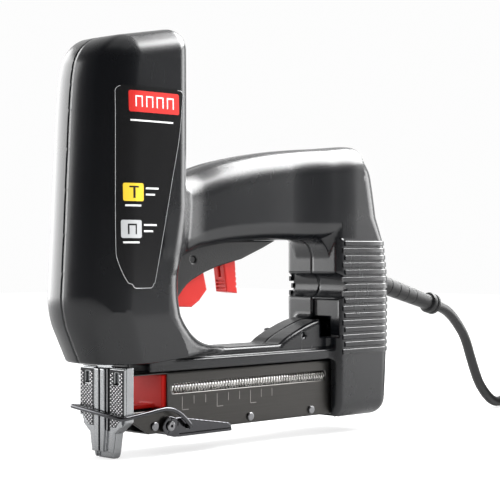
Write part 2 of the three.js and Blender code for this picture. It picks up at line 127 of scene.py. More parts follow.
def less(body: Shape, *tools: Shape, ease: float = 0.0) -> Shape:
    """Returns the body with the tools cut away, with edges of radius `ease`."""

    def run(p: Array) -> Array:
        """Measures the distance at points."""
        d = body(p)
        for tool in tools:
            d = rounded_max(d, -tool(p), ease)
        return d

    return run


def block(low: Point, high: Point, ease: float = 0.0) -> Shape:
    """Returns a box between two corners, with edges of radius `ease`."""
    centre = (np.array(low) + np.array(high)) / 2
    half = (np.array(high) - np.array(low)) / 2 - ease

    def run(p: Array) -> Array:
        """Measures the distance at points."""
        q = np.abs(p - centre) - half
        outside = np.linalg.norm(np.maximum(q, 0), axis=1)
        return outside + np.minimum(q.max(axis=1), 0) - ease

    return run


def slab(p: Array, axis: Axis, low: float, high: float) -> Array:
    """Measures points against the space between two planes square to an axis."""
    at = p[:, axis.value[0]]
    return np.maximum(low - at, at - high)


def rod(axis: Axis, centre: Corner, radius: float, low: float, high: float, ease: float = 0.0) -> Shape:
    """Returns a round bar.

    Args:
        axis: The bar's direction.
        centre: Where the bar's line crosses the two other axes.
        radius: The bar's radius.
        low: Its lower end along the axis.
        high: Its upper end.
        ease: Radius of the end edges.

    Returns:
        The bar as a shape.
    """
    _, i, j = axis.value

    def run(p: Array) -> Array:
        """Measures the distance at points."""
        around = np.hypot(p[:, i] - centre[0], p[:, j] - centre[1]) - radius
        return rounded_max(around, slab(p, axis, low, high), ease)

    return run


def plate(axis: Axis, corners: Sequence[Corner], low: float, high: float, ease: float = 0.0,
          corner: float = 0.0) -> Shape:
    """Returns a flat outline given thickness along an axis.

    Args:
        axis: The direction of the thickness.
        corners: The outline's corners on the two other axes.
        low: The lower face along the axis.
        high: The upper face.
        ease: Radius of the edges around both faces.
        corner: Radius of the outline's own corners.

    Returns:
        The plate as a shape.
    """
    _, i, j = axis.value
    ring = np.array(corners, float)
    following = np.roll(ring, -1, axis=0)
    turning = np.sum(ring[:, 0] * following[:, 1] - ring[:, 1] * following[:, 0])
    if corner:
        ring = inset(ring if turning > 0 else ring[::-1], corner)
        following = np.roll(ring, -1, axis=0)

    def run(p: Array) -> Array:
        """Measures the distance at points."""
        q = p[:, [i, j]]
        nearest = np.full(len(q), np.inf)
        inside = np.zeros(len(q), bool)
        for a, b in zip(ring, following):
            edge, w = b - a, q - a
            t = np.clip(w @ edge / (edge @ edge), 0, 1)
            nearest = np.minimum(nearest, np.sum((w - t[:, None] * edge) ** 2, axis=1))
            crosses = (a[1] > q[:, 1]) != (b[1] > q[:, 1])
            rise = edge[1] if edge[1] else 1e-12
            inside ^= crosses & (q[:, 0] < a[0] + (q[:, 1] - a[1]) * edge[0] / rise)
        d = np.where(inside, -1, 1) * np.sqrt(nearest) - corner
        return rounded_max(d, slab(p, axis, low, high), ease)

    return run


def inset(ring: Array, by: float) -> Array:
    """Moves each edge of a counter-clockwise outline inwards.

    Args:
        ring: The outline's corners.
        by: How far the edges move.

    Returns:
        The corners of the smaller outline.
    """
    before, after = np.roll(ring, 1, axis=0), np.roll(ring, -1, axis=0)
    e0, e1 = ring - before, after - ring
    n0 = np.stack([-e0[:, 1], e0[:, 0]], 1) / np.linalg.norm(e0, axis=1)[:, None]
    n1 = np.stack([-e1[:, 1], e1[:, 0]], 1) / np.linalg.norm(e1, axis=1)[:, None]
    middle = n0 + n1
    return ring + by * middle * (2 / np.sum(middle * middle, axis=1))[:, None]


def slope_of(shape: Shape, points: Array, reach: float = 0.02) -> Array:
    """Returns the unit direction in which a shape's distance grows at each point."""
    ways = [shape(points + reach * way) - shape(points - reach * way) for way in np.eye(3)]
    g = np.stack(ways, -1)
    return g / np.maximum(np.linalg.norm(g, axis=1), 1e-12)[:, None]


@dataclass
class Skin:
    """Finds the surface of a shape on a grid of cells, keeping its sharp edges."""

    shape: Shape
    low: Point
    high: Point
    step: float
    stiffness: float = 0.04
    cells: list[Array] = field(default_factory=list)
    places: list[Array] = field(default_factory=list)
    facings: list[Array] = field(default_factory=list)
    quads: list[Array] = field(default_factory=list)

    def _crossings(self, axis: int, value: Array, origin: Array) -> None:
        """Notes where the surface crosses the grid lines along one axis."""
        counts = np.array(value.shape)
        near = np.take(value, range(counts[axis] - 1), axis)
        far = np.take(value, range(1, counts[axis]), axis)
        found = np.argwhere((near < 0) != (far < 0))
        b, c = (axis + 1) % 3, (axis + 2) % 3
        keep = (found[:, b] > 0) & (found[:, b] < counts[b] - 1)
        found = found[keep & (found[:, c] > 0) & (found[:, c] < counts[c] - 1)]
        v0, v1 = near[tuple(found.T)], far[tuple(found.T)]
        rising = v0 < 0
        t0, t1 = np.zeros(len(found)), np.ones(len(found))
        start = origin + found * self.step
        for _ in range(3):
            t = t0 + (t1 - t0) * np.clip(v0 / (v0 - v1), 0.05, 0.95)
            p = start.copy()
            p[:, axis] += t * self.step
            v = self.shape(p)
            low_side = (v < 0) == (v0 < 0)
            t0, v0 = np.where(low_side, t, t0), np.where(low_side, v, v0)
            t1, v1 = np.where(low_side, t1, t), np.where(low_side, v1, v)
        p[:, axis] = start[:, axis] + (t0 + (t1 - t0) * v0 / (v0 - v1)) * self.step
        facing = slope_of(self.shape, p)
        eb, ec = np.eye(3, dtype=int)[b], np.eye(3, dtype=int)[c]
        around = [found, found - eb, found - eb - ec, found - ec]
        flat = np.stack([np.ravel_multi_index(tuple(w.T), tuple(counts - 1)) for w in around], 1)
        self.quads.append(np.where(rising[:, None], flat, flat[:, ::-1]))
        for column in flat.T:
            self.cells.append(column)
            self.places.append(p)
            self.facings.append(facing)

    def run(self) -> tuple[Array, Array, Array]:
        """Builds the surface.

        Returns:
            Points, four-sided faces, and a normal for each point, zero where an edge is sharp.
        """
        origin = np.array(self.low, float) - self.step
        counts = np.ceil((np.array(self.high) + self.step - origin) / self.step).astype(int) + 1
        lines = [origin[i] + self.step * np.arange(counts[i]) for i in range(3)]
        grid = np.stack(np.meshgrid(*lines, indexing="ij"), -1).reshape(-1, 3)
        value = self.shape(grid).reshape(counts)
        for axis in range(3):
            self._crossings(axis, value, origin)
        used, where = np.unique(np.concatenate(self.cells), return_inverse=True)
        p, n = np.concatenate(self.places), np.concatenate(self.facings)
        count = np.bincount(where)

        def gather(weights: Array) -> Array:
            """Sums a value over the crossings of each cell."""
            return np.bincount(where, weights)

        middle = np.stack([gather(p[:, i]) for i in range(3)], 1) / count[:, None]
        facing = np.stack([gather(n[:, i]) for i in range(3)], 1) / count[:, None]
        ata = np.empty((len(used), 3, 3))
        for i in range(3):
            for j in range(3):
                ata[:, i, j] = gather(n[:, i] * n[:, j])
        reach = np.sum(n * p, axis=1)
        atb = np.stack([gather(n[:, i] * reach) for i in range(3)], 1)
        rest = atb - np.einsum("nij,nj->ni", ata, middle)
        ata += self.stiffness * np.eye(3)
        points = middle + np.linalg.solve(ata, rest[..., None])[..., 0]
        corner = np.stack(np.unravel_index(used, tuple(counts - 1)), 1) * self.step + origin
        points = np.clip(points, corner, corner + self.step)
        smooth = np.linalg.norm(facing, axis=1) > 0.985
        normals = np.where(smooth[:, None], slope_of(self.shape, points), 0.0)
        quads = np.searchsorted(used, np.concatenate(self.quads))
        return points, quads, normals


# ---------- meshes ----------
def to_frame(points: Array | Sequence[Point]) -> Array:
    """Turns points of the drawing into metres in the frame's axes."""
    return (np.asarray(points, float) - (MIDDLE_X, 0, 0)) * MM


def mesh_piece(name: str, points: Array, faces: Sequence, material: bpy.types.Material,
               sharp: float = 35.0, normals: Array | None = None) -> bpy.types.Object:
    """Makes a piece from points and faces.

    Args:
        name: The piece's name.
        points: Its points on the drawing.
        faces: Rows of point numbers, anticlockwise from outside.
        material: Its finish.
        sharp: Edges that turn by more degrees than this stay crisp.
        normals: A shading direction for each point, zero where it is worked out from the faces.

    Returns:
        The new object, at the origin.
    """
    mesh = bpy.data.meshes.new(name)
    rows = faces.tolist() if isinstance(faces, np.ndarray) else faces
    mesh.from_pydata(to_frame(points).tolist(), [], rows)
    mesh.update()
    mesh.shade_smooth()
    mesh.set_sharp_from_angle(angle=math.radians(sharp))
    if normals is not None:
        mesh.normals_split_custom_set_from_vertices(normals.tolist())
    mesh.materials.append(material)
    piece = bpy.data.objects.new(name, mesh)
    bpy.context.scene.collection.objects.link(piece)
    return piece


def skin_piece(name: str, shape: Shape, low: Point, high: Point, step: float,
               material: bpy.types.Material) -> bpy.types.Object:
    """Makes a piece from a shape within given corners, on cells of a given size."""
    points, quads, normals = Skin(shape, low, high, step).run()
    return mesh_piece(name, points, quads, material, 30.0, normals)


def grid_faces(rows: int, columns: int, closed: bool = True) -> list[list[int]]:
    """Returns faces between rows of points, each row closed into a ring or left open."""
    faces = []
    for i in range(rows - 1):
        for j in range(columns if closed else columns - 1):
            k = (j + 1) % columns
            faces.append([i * columns + j, i * columns + k, (i + 1) * columns + k, (i + 1) * columns + j])
    return faces


def turned_piece(name: str, rings: Sequence[Corner], start: Point, way: Point,
                 material: bpy.types.Material, sides: int = 48) -> bpy.types.Object:
    """Makes a turned piece.

    Args:
        name: The piece's name.
        rings: Radius and distance along the axis, from the start to the far end.
        start: Where the axis starts.
        way: The axis direction.
        material: Its finish.
        sides: How many steps go round.

    Returns:
        The new object.
    """
    axis = Vector(way).normalized()
    across = axis.orthogonal().normalized()
    up = axis.cross(across)
    angles = [2 * math.pi * k / sides for k in range(sides)]
    points = [Vector(start) + axis * s + (across * math.cos(t) + up * math.sin(t)) * r
              for r, s in rings for t in angles]
    faces = grid_faces(len(rings), sides)
    faces += [list(range(sides))[::-1], [(len(rings) - 1) * sides + k for k in range(sides)]]
    return mesh_piece(name, np.array([tuple(p) for p in points]), faces, material, 28.0)


def join(name: str, *pieces: bpy.types.Object) -> bpy.types.Object:
    """Joins pieces into one, keeping their finishes, and returns it under a new name."""
    with bpy.context.temp_override(active_object=pieces[0], selected_editable_objects=list(pieces)):
        bpy.ops.object.join()
    pieces[0].name = pieces[0].data.name = name
    return pieces[0]


def dress(piece: bpy.types.Object, body: str, slot: str, *nodes: str) -> bpy.types.Object:
    """Rides a piece on a body and lets it stand for CAD nodes."""
    if nodes:
        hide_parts(*nodes)
    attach(piece, body)
    return piece


def finish_node(node: str, material: bpy.types.Material) -> None:
    """Gives a CAD node that stays a better finish."""
    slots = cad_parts[node].material_slots
    for slot in slots:
        slot.material = material


# ---------- geometry node trees ----------
class Tree:
    """A geometry node tree built step by step, with named inputs for its sizes."""

    def __init__(self, name: str) -> None:
        """Starts an empty tree with a geometry input and output."""
        self.group = bpy.data.node_groups.new(name, "GeometryNodeTree")
        self.group.interface.new_socket("Geometry", in_out="INPUT", socket_type="NodeSocketGeometry")
        self.group.interface.new_socket("Geometry", in_out="OUTPUT", socket_type="NodeSocketGeometry")
        self.start = self.group.nodes.new("NodeGroupInput")
        self.values: dict[str, float] = {}

    def size(self, name: str, value: float) -> bpy.types.NodeSocket:
        """Adds a named input in metres or counts and returns its socket."""
        kind = "NodeSocketInt" if isinstance(value, int) else "NodeSocketFloat"
        item = self.group.interface.new_socket(name, in_out="INPUT", socket_type=kind)
        self.values[item.identifier] = value
        return next(s for s in self.start.outputs if s.identifier == item.identifier)

    def node(self, kind: str, **inputs: object) -> bpy.types.Node:
        """Adds a node; inputs given by name (with _ for spaces) are values or sockets to link."""
        node = self.group.nodes.new(kind)
        for name, value in inputs.items():
            socket = node.inputs[name.replace("_", " ")]
            if isinstance(value, bpy.types.NodeSocket):
                self.group.links.new(value, socket)
            else:
                socket.default_value = value
        return node

    def bake(self, name: str, source: bpy.types.ID, shape: bpy.types.NodeSocket,
             material: bpy.types.Material, sharp: float = 35.0) -> bpy.types.Object:
        """Runs the tree on a mesh or a curve and keeps the result as a plain mesh.

        Args:
            name: The piece's name.
            source: The mesh or curve that the tree starts from.
            shape: The geometry that the tree ends with.
            material: Its finish.
            sharp: Edges that turn by more degrees than this stay crisp.

        Returns:
            The new object.
        """
        real = self.node("GeometryNodeRealizeInstances", Geometry=shape)
        painted = self.node("GeometryNodeSetMaterial", Geometry=real.outputs[0], Material=material)
        end = self.group.nodes.new("NodeGroupOutput")
        self.group.links.new(painted.outputs[0], end.inputs[0])
        holder = bpy.data.objects.new(name + "_source", source)
        bpy.context.scene.collection.objects.link(holder)
        modifier = holder.modifiers.new("shape", "NODES")
        modifier.node_group = self.group
        for identifier, value in self.values.items():
            modifier[identifier] = value
        graph = bpy.context.evaluated_depsgraph_get()
        mesh = bpy.data.meshes.new_from_object(holder.evaluated_get(graph), depsgraph=graph)
        bpy.data.objects.remove(holder)
        mesh.name = name
        mesh.shade_smooth()
        mesh.set_sharp_from_angle(angle=math.radians(sharp))
        piece = bpy.data.objects.new(name, mesh)
        bpy.context.scene.collection.objects.link(piece)
        return piece


def path_curve(name: str, paths: Sequence[Array], radii: Sequence[Array] | None = None) -> bpy.types.Curve:
    """Returns a curve whose splines run straight from point to point of each path.

    Args:
        name: The curve's name.
        paths: Points of each path on the drawing.
        radii: A width factor for each point, or nothing for an even width.
    """
    curve = bpy.data.curves.new(name, "CURVE")
    curve.dimensions = "3D"
    for k, path in enumerate(paths):
        spline = curve.splines.new("POLY")
        spline.points.add(len(path) - 1)
        for i, at in enumerate(to_frame(path)):
            spline.points[i].co = (*at, 1)
            spline.points[i].radius = 1.0 if radii is None else float(radii[k][i])
    return curve


def point_cloud(name: str, points: Array) -> bpy.types.Mesh:
    """Returns a mesh with loose points of the drawing only."""
    mesh = bpy.data.meshes.new(name)
    mesh.from_pydata(to_frame(points).tolist(), [], [])
    return mesh


def coil_of_wire(name: str, start: Point, way: Point, radius: float, length: float, turns: float,
                 wire: float, material: bpy.types.Material, steps: int = 14) -> bpy.types.Object:
    """Winds a wire spring around an axis.

    Args:
        name: The piece's name.
        start: Where the axis starts.
        way: The axis direction.
        radius: From the axis to the middle of the wire.
        length: Along the axis.
        turns: How many turns it has.
        wire: The wire's radius.
        material: Its finish.
        steps: Points on each turn.

    Returns:
        The new object.
    """
    axis = Vector(way).normalized()
    across = axis.orthogonal().normalized()
    up = axis.cross(across)
    count = int(turns * steps)
    path = [tuple(Vector(start) + axis * (length * k / count)
                  + (across * math.cos(math.tau * k / steps) + up * math.sin(math.tau * k / steps)) * radius)
            for k in range(count + 1)]
    tree = Tree(name + " winding")
    thick = tree.size("Wire radius", wire * MM)
    around = tree.node("GeometryNodeCurvePrimitiveCircle", Resolution=7, Radius=thick)
    swept = tree.node("GeometryNodeCurveToMesh", Curve=tree.start.outputs[0],
                      Profile_Curve=around.outputs[0], Fill_Caps=True)
    return tree.bake(name, path_curve(name, [np.array(path)]), swept.outputs[0], material, 60.0)


# ---------- finishes ----------
class Sheet:
    """A shader sheet, either a group or a material, built node by node."""

    def __init__(self, nodes: bpy.types.NodeTree) -> None:
        """Starts on an empty node tree."""
        self.tree = nodes

    def node(self, kind: str, settings: dict[str, object] | None = None, **inputs: object) -> bpy.types.Node:
        """Adds a node, with its settings and its inputs by name (with _ for spaces)."""
        node = self.tree.nodes.new(kind)
        for name, value in (settings or {}).items():
            setattr(node, name, value)
        for name, value in inputs.items():
            key = int(name[1:]) if name[1:].isdigit() else name.replace("_", " ")
            if isinstance(value, bpy.types.NodeSocket):
                self.tree.links.new(value, node.inputs[key])
            else:
                node.inputs[key].default_value = value
        return node

    def sum(self, operation: str, a: object, b: object, clamp: bool = False) -> bpy.types.NodeSocket:
        """Returns the result of one piece of arithmetic on two values."""
        settings = {"operation": operation, "use_clamp": clamp}
        return self.node("ShaderNodeMath", settings, i0=a, i1=b).outputs[0]

    def mix(self, factor: object, a: object, b: object) -> bpy.types.NodeSocket:
        """Returns a colour between two."""
        node = self.node("ShaderNodeMix", {"data_type": "RGBA"})
        for key, value in ((0, factor), (6, a), (7, b)):
            if isinstance(value, bpy.types.NodeSocket):
                self.tree.links.new(value, node.inputs[key])
            else:
                node.inputs[key].default_value = value
        return node.outputs[2]


def shader_group(name: str, sizes: dict[str, float],
                 results: Sequence[str]) -> tuple[Sheet, dict, bpy.types.Node]:
    """Starts a shader node group.

    Args:
        name: The group's name.
        sizes: Its inputs and their usual values.
        results: The names of its outputs.

    Returns:
        The sheet to build on, the input sockets by name, and the node that the outputs go to.
    """
    group = bpy.data.node_groups.new(name, "ShaderNodeTree")
    for key, value in sizes.items():
        item = group.interface.new_socket(key, in_out="INPUT", socket_type="NodeSocketFloat")
        item.default_value = value
    for key in results:
        group.interface.new_socket(key, in_out="OUTPUT", socket_type="NodeSocketFloat")
    start = group.nodes.new("NodeGroupInput")
    return Sheet(group), {s.name: s for s in start.outputs if s.name}, group.nodes.new("NodeGroupOutput")


def moulded_grain() -> bpy.types.NodeTree:
    """Builds the fine pebbled grain of a moulding: a height, and a tone that varies slowly."""
    sheet, size, end = shader_group("moulded grain", {"Cells per mm": 2.0, "Coarseness": 0.5},
                                    ("Height", "Tone"))
    place = sheet.node("ShaderNodeTexCoord").outputs["Object"]
    scale = sheet.sum("MULTIPLY", size["Cells per mm"], 1000.0)
    fine = sheet.node("ShaderNodeTexVoronoi", {"feature": "SMOOTH_F1"}, Vector=place, Scale=scale)
    rough = sheet.node("ShaderNodeTexNoise", Vector=place, Scale=scale, Detail=3.0)
    slow = sheet.node("ShaderNodeTexNoise", Vector=place, Scale=28.0, Detail=4.0, Roughness=0.6)
    blend = sheet.node("ShaderNodeMix", {"data_type": "FLOAT"}, i0=size["Coarseness"],
                       i2=rough.outputs[0], i3=fine.outputs[0])
    sheet.tree.links.new(blend.outputs[0], end.inputs["Height"])
    sheet.tree.links.new(slow.outputs[0], end.inputs["Tone"])
    return sheet.tree


def handling() -> bpy.types.NodeTree:
    """Builds the soft smears and fine scratches that handling leaves, as one mask."""
    sheet, size, end = shader_group("handling marks", {"Smears": 1.0, "Scratches": 0.3}, ("Mask",))
    place = sheet.node("ShaderNodeTexCoord").outputs["Object"]
    smear = sheet.node("ShaderNodeTexNoise", Vector=place, Scale=22.0, Detail=5.0, Distortion=0.6)
    turned = sheet.node("ShaderNodeMapping", Vector=place)
    turned.inputs["Rotation"].default_value = (0.4, 0.9, 0.3)
    turned.inputs["Scale"].default_value = (900.0, 40.0, 60.0)
    scratch = sheet.node("ShaderNodeTexNoise", Vector=turned.outputs[0], Scale=1.0, Detail=2.0)
    line = sheet.sum("GREATER_THAN", scratch.outputs[0], 0.68)
    worn = sheet.sum("MULTIPLY", line, size["Scratches"])
    soft = sheet.sum("MULTIPLY", smear.outputs[0], size["Smears"])
    sheet.tree.links.new(sheet.sum("ADD", soft, worn, True), end.inputs["Mask"])
    return sheet.tree


def edge_wear() -> bpy.types.NodeTree:
    """Builds a mask of the outer edges, broken up as rubbing leaves them."""
    sheet, size, end = shader_group("edge wear", {"Amount": 0.5}, ("Mask",))
    edge = sheet.node("ShaderNodeNewGeometry").outputs["Pointiness"]
    place = sheet.node("ShaderNodeTexCoord").outputs["Object"]
    broken = sheet.node("ShaderNodeTexNoise", Vector=place, Scale=260.0, Detail=4.0)
    sharp = sheet.node("ShaderNodeMapRange", Value=edge, From_Min=0.52, From_Max=0.62)
    rubbed = sheet.sum("MULTIPLY", sharp.outputs[0], broken.outputs[0])
    sheet.tree.links.new(sheet.sum("MULTIPLY", rubbed, size["Amount"], True), end.inputs["Mask"])
    return sheet.tree


def brushing() -> bpy.types.NodeTree:
    """Builds the fine lines of brushed or ground metal, along x, along y or along z."""
    sizes = {"Across x": 1.0, "Across y": 1.0, "Across z": 1.0}
    sheet, size, end = shader_group("brushed lines", sizes, ("Lines",))
    place = sheet.node("ShaderNodeTexCoord").outputs["Object"]
    scale = sheet.node("ShaderNodeCombineXYZ", X=size["Across x"], Y=size["Across y"], Z=size["Across z"])
    spread = sheet.node("ShaderNodeVectorMath", {"operation": "MULTIPLY"}, i0=place, i1=scale.outputs[0])
    lines = sheet.node("ShaderNodeTexNoise", Vector=spread.outputs[0], Scale=1.0, Detail=5.0, Roughness=0.7)
    sheet.tree.links.new(lines.outputs[0], end.inputs["Lines"])
    return sheet.tree


@dataclass(frozen=True)
class Plastic:
    """A moulded plastic or rubber."""

    name: str
    colour: tuple[float, float, float]
    rough: float
    cells: float = 2.0
    coarse: float = 0.5
    depth: float = 0.00002
    shine: float = 1.5
    wear: float = 0.25
    coat: float = 0.0

    def build(self, groups: dict[str, bpy.types.NodeTree]) -> bpy.types.Material:
        """Builds the material.

        Args:
            groups: The shared shader groups by name.

        Returns:
            The material.
        """
        material = bpy.data.materials.new(self.name)
        material.use_nodes = True
        sheet = Sheet(material.node_tree)
        shader = material.node_tree.nodes["Principled BSDF"]
        grain = sheet.node("ShaderNodeGroup", {"node_tree": groups["grain"]},
                           Cells_per_mm=self.cells, Coarseness=self.coarse)
        marks = sheet.node("ShaderNodeGroup", {"node_tree": groups["handling"]}, Smears=0.6, Scratches=0.04)
        edges = sheet.node("ShaderNodeGroup", {"node_tree": groups["wear"]}, Amount=self.wear)
        lighter = tuple(min(1.0, c * 1.7 + 0.003) for c in self.colour)
        darker = tuple(c * 0.8 for c in self.colour)
        base = sheet.mix(grain.outputs["Tone"], (*darker, 1), (*(c * 1.15 for c in self.colour), 1))
        worn = sheet.mix(edges.outputs["Mask"], base, (*lighter, 1))
        rough = sheet.node("ShaderNodeMapRange", Value=marks.outputs["Mask"],
                           To_Min=self.rough - 0.05, To_Max=self.rough + 0.07)
        bump = sheet.node("ShaderNodeBump", Height=grain.outputs["Height"], Distance=self.depth, Strength=0.6)
        results = ((worn, "Base Color"), (rough.outputs[0], "Roughness"), (bump.outputs[0], "Normal"))
        for socket, key in results:
            sheet.tree.links.new(socket, shader.inputs[key])
        shader.inputs["IOR"].default_value = self.shine
        shader.inputs["Coat Weight"].default_value = self.coat
        shader.inputs["Coat Roughness"].default_value = 0.12
        return material


@dataclass(frozen=True)
class Metal:
    """A plain, plated or painted metal."""

    name: str
    colour: tuple[float, float, float]
    rough: float
    lines: tuple[float, float, float] = (900.0, 60.0, 60.0)
    metallic: float = 1.0
    depth: float = 0.00001
    wear: float = 0.6

    def build(self, groups: dict[str, bpy.types.NodeTree]) -> bpy.types.Material:
        """Builds the material.

        Args:
            groups: The shared shader groups by name.

        Returns:
            The material.
        """
        material = bpy.data.materials.new(self.name)
        material.use_nodes = True
        sheet = Sheet(material.node_tree)
        shader = material.node_tree.nodes["Principled BSDF"]
        x, y, z = self.lines
        lines = sheet.node("ShaderNodeGroup", {"node_tree": groups["brushing"]},
                           Across_x=x, Across_y=y, Across_z=z)
        marks = sheet.node("ShaderNodeGroup", {"node_tree": groups["handling"]}, Smears=0.8, Scratches=0.3)
        edges = sheet.node("ShaderNodeGroup", {"node_tree": groups["wear"]}, Amount=self.wear)
        darker = tuple(c * 0.72 for c in self.colour)
        lighter = tuple(min(1.0, c * 1.5 + 0.05) for c in self.colour)
        base = sheet.mix(lines.outputs["Lines"], (*darker, 1), (*self.colour, 1))
        worn = sheet.mix(edges.outputs["Mask"], base, (*lighter, 1))
        rough = sheet.node("ShaderNodeMapRange", Value=marks.outputs["Mask"],
                           To_Min=self.rough * 0.8, To_Max=self.rough * 1.25)
        bump = sheet.node("ShaderNodeBump", Height=lines.outputs["Lines"], Distance=self.depth, Strength=0.5)
        results = ((worn, "Base Color"), (rough.outputs[0], "Roughness"), (bump.outputs[0], "Normal"))
        for socket, key in results:
            sheet.tree.links.new(socket, shader.inputs[key])
        shader.inputs["Metallic"].default_value = self.metallic
        return material


class Finishes:
    """All the finishes of the tool, each built once."""

    def __init__(self) -> None:
        """Builds the shared groups and the materials."""
        groups = {"grain": moulded_grain(), "handling": handling(), "wear": edge_wear(),
                  "brushing": brushing()}
        made = [
            Plastic("charcoal_shell", (0.0026, 0.0031, 0.0043), 0.28, 2.4, 0.35, 0.000012, 1.56, 0.12),
            Plastic("pebbled_black", (0.004, 0.004, 0.0045), 0.42, 1.1, 0.8, 0.00016, 1.5, 0.1),
            Plastic("plain_black", (0.005, 0.005, 0.0055), 0.45),
            Plastic("signal_red", (0.56, 0.012, 0.007), 0.34, 2.2, 0.3, 0.00001, 1.44, 0.2),
            Plastic("follower_red", (0.5, 0.01, 0.006), 0.5, 2.2, 0.3, 0.00001, 1.28, 0.1),
            Plastic("gloss_film", (0.009, 0.009, 0.0095), 0.2, 3.0, 0.2, 0.000004, 1.55, 0.0, 0.3),
            Plastic("print_white", (0.8, 0.8, 0.8), 0.4, 3.0, 0.2, 0.000002, 1.45, 0.0),
            Plastic("print_red", (0.62, 0.02, 0.015), 0.35, 3.0, 0.2, 0.000002, 1.45, 0.0),
            Plastic("print_yellow", (0.85, 0.58, 0.03), 0.35, 3.0, 0.2, 0.000002, 1.45, 0.0),
            Plastic("print_grey", (0.5, 0.51, 0.52), 0.35, 3.0, 0.2, 0.000002, 1.45, 0.0),
            Plastic("soft_rubber", (0.006, 0.006, 0.0065), 0.5, 1.6, 0.6, 0.00003, 1.48, 0.1),
            Plastic("lead_sheath", (0.009, 0.009, 0.0095), 0.42, 2.0, 0.4, 0.00001, 1.48, 0.1),
            Plastic("board_lacquer", (0.03, 0.16, 0.07), 0.3, 1.5, 0.3, 0.00001, 1.5, 0.1),
            Metal("satin_gunmetal", (0.085, 0.082, 0.078), 0.32, (40.0, 900.0, 900.0)),
            Metal("polished_steel", (0.46, 0.47, 0.48), 0.18, (60.0, 900.0, 60.0)),
            Metal("knurled_steel", (0.62, 0.62, 0.63), 0.25, (200.0, 200.0, 200.0)),
            Metal("dark_steel", (0.1, 0.1, 0.106), 0.18, (60.0, 900.0, 60.0)),
            # A dark sheet: painted shade on the floors of the nose's grooves, slit and knurl gaps, and dark
            # print on the side film.
            Metal("blued_groove", (0.02, 0.02, 0.022), 0.4, (60.0, 900.0, 60.0), 0.6),
            Metal("spring_wire", (0.7, 0.68, 0.64), 0.18, (300.0, 300.0, 300.0)),
            Metal("plated_screw", (0.3, 0.3, 0.31), 0.3, (300.0, 300.0, 300.0)),
            Metal("etched_mark", (0.2, 0.19, 0.18), 0.5, (500.0, 500.0, 500.0), 0.6),
            Metal("enamelled_copper", (0.55, 0.2, 0.08), 0.28, (60.0, 60.0, 1800.0)),
            Metal("plain_brass", (0.75, 0.55, 0.22), 0.22, (900.0, 60.0, 60.0)),
        ]
        self.by_name = {finish.name: finish.build(groups) for finish in made}

    def __getitem__(self, name: str) -> bpy.types.Material:
        """Returns the material of a name."""
        return self.by_name[name]


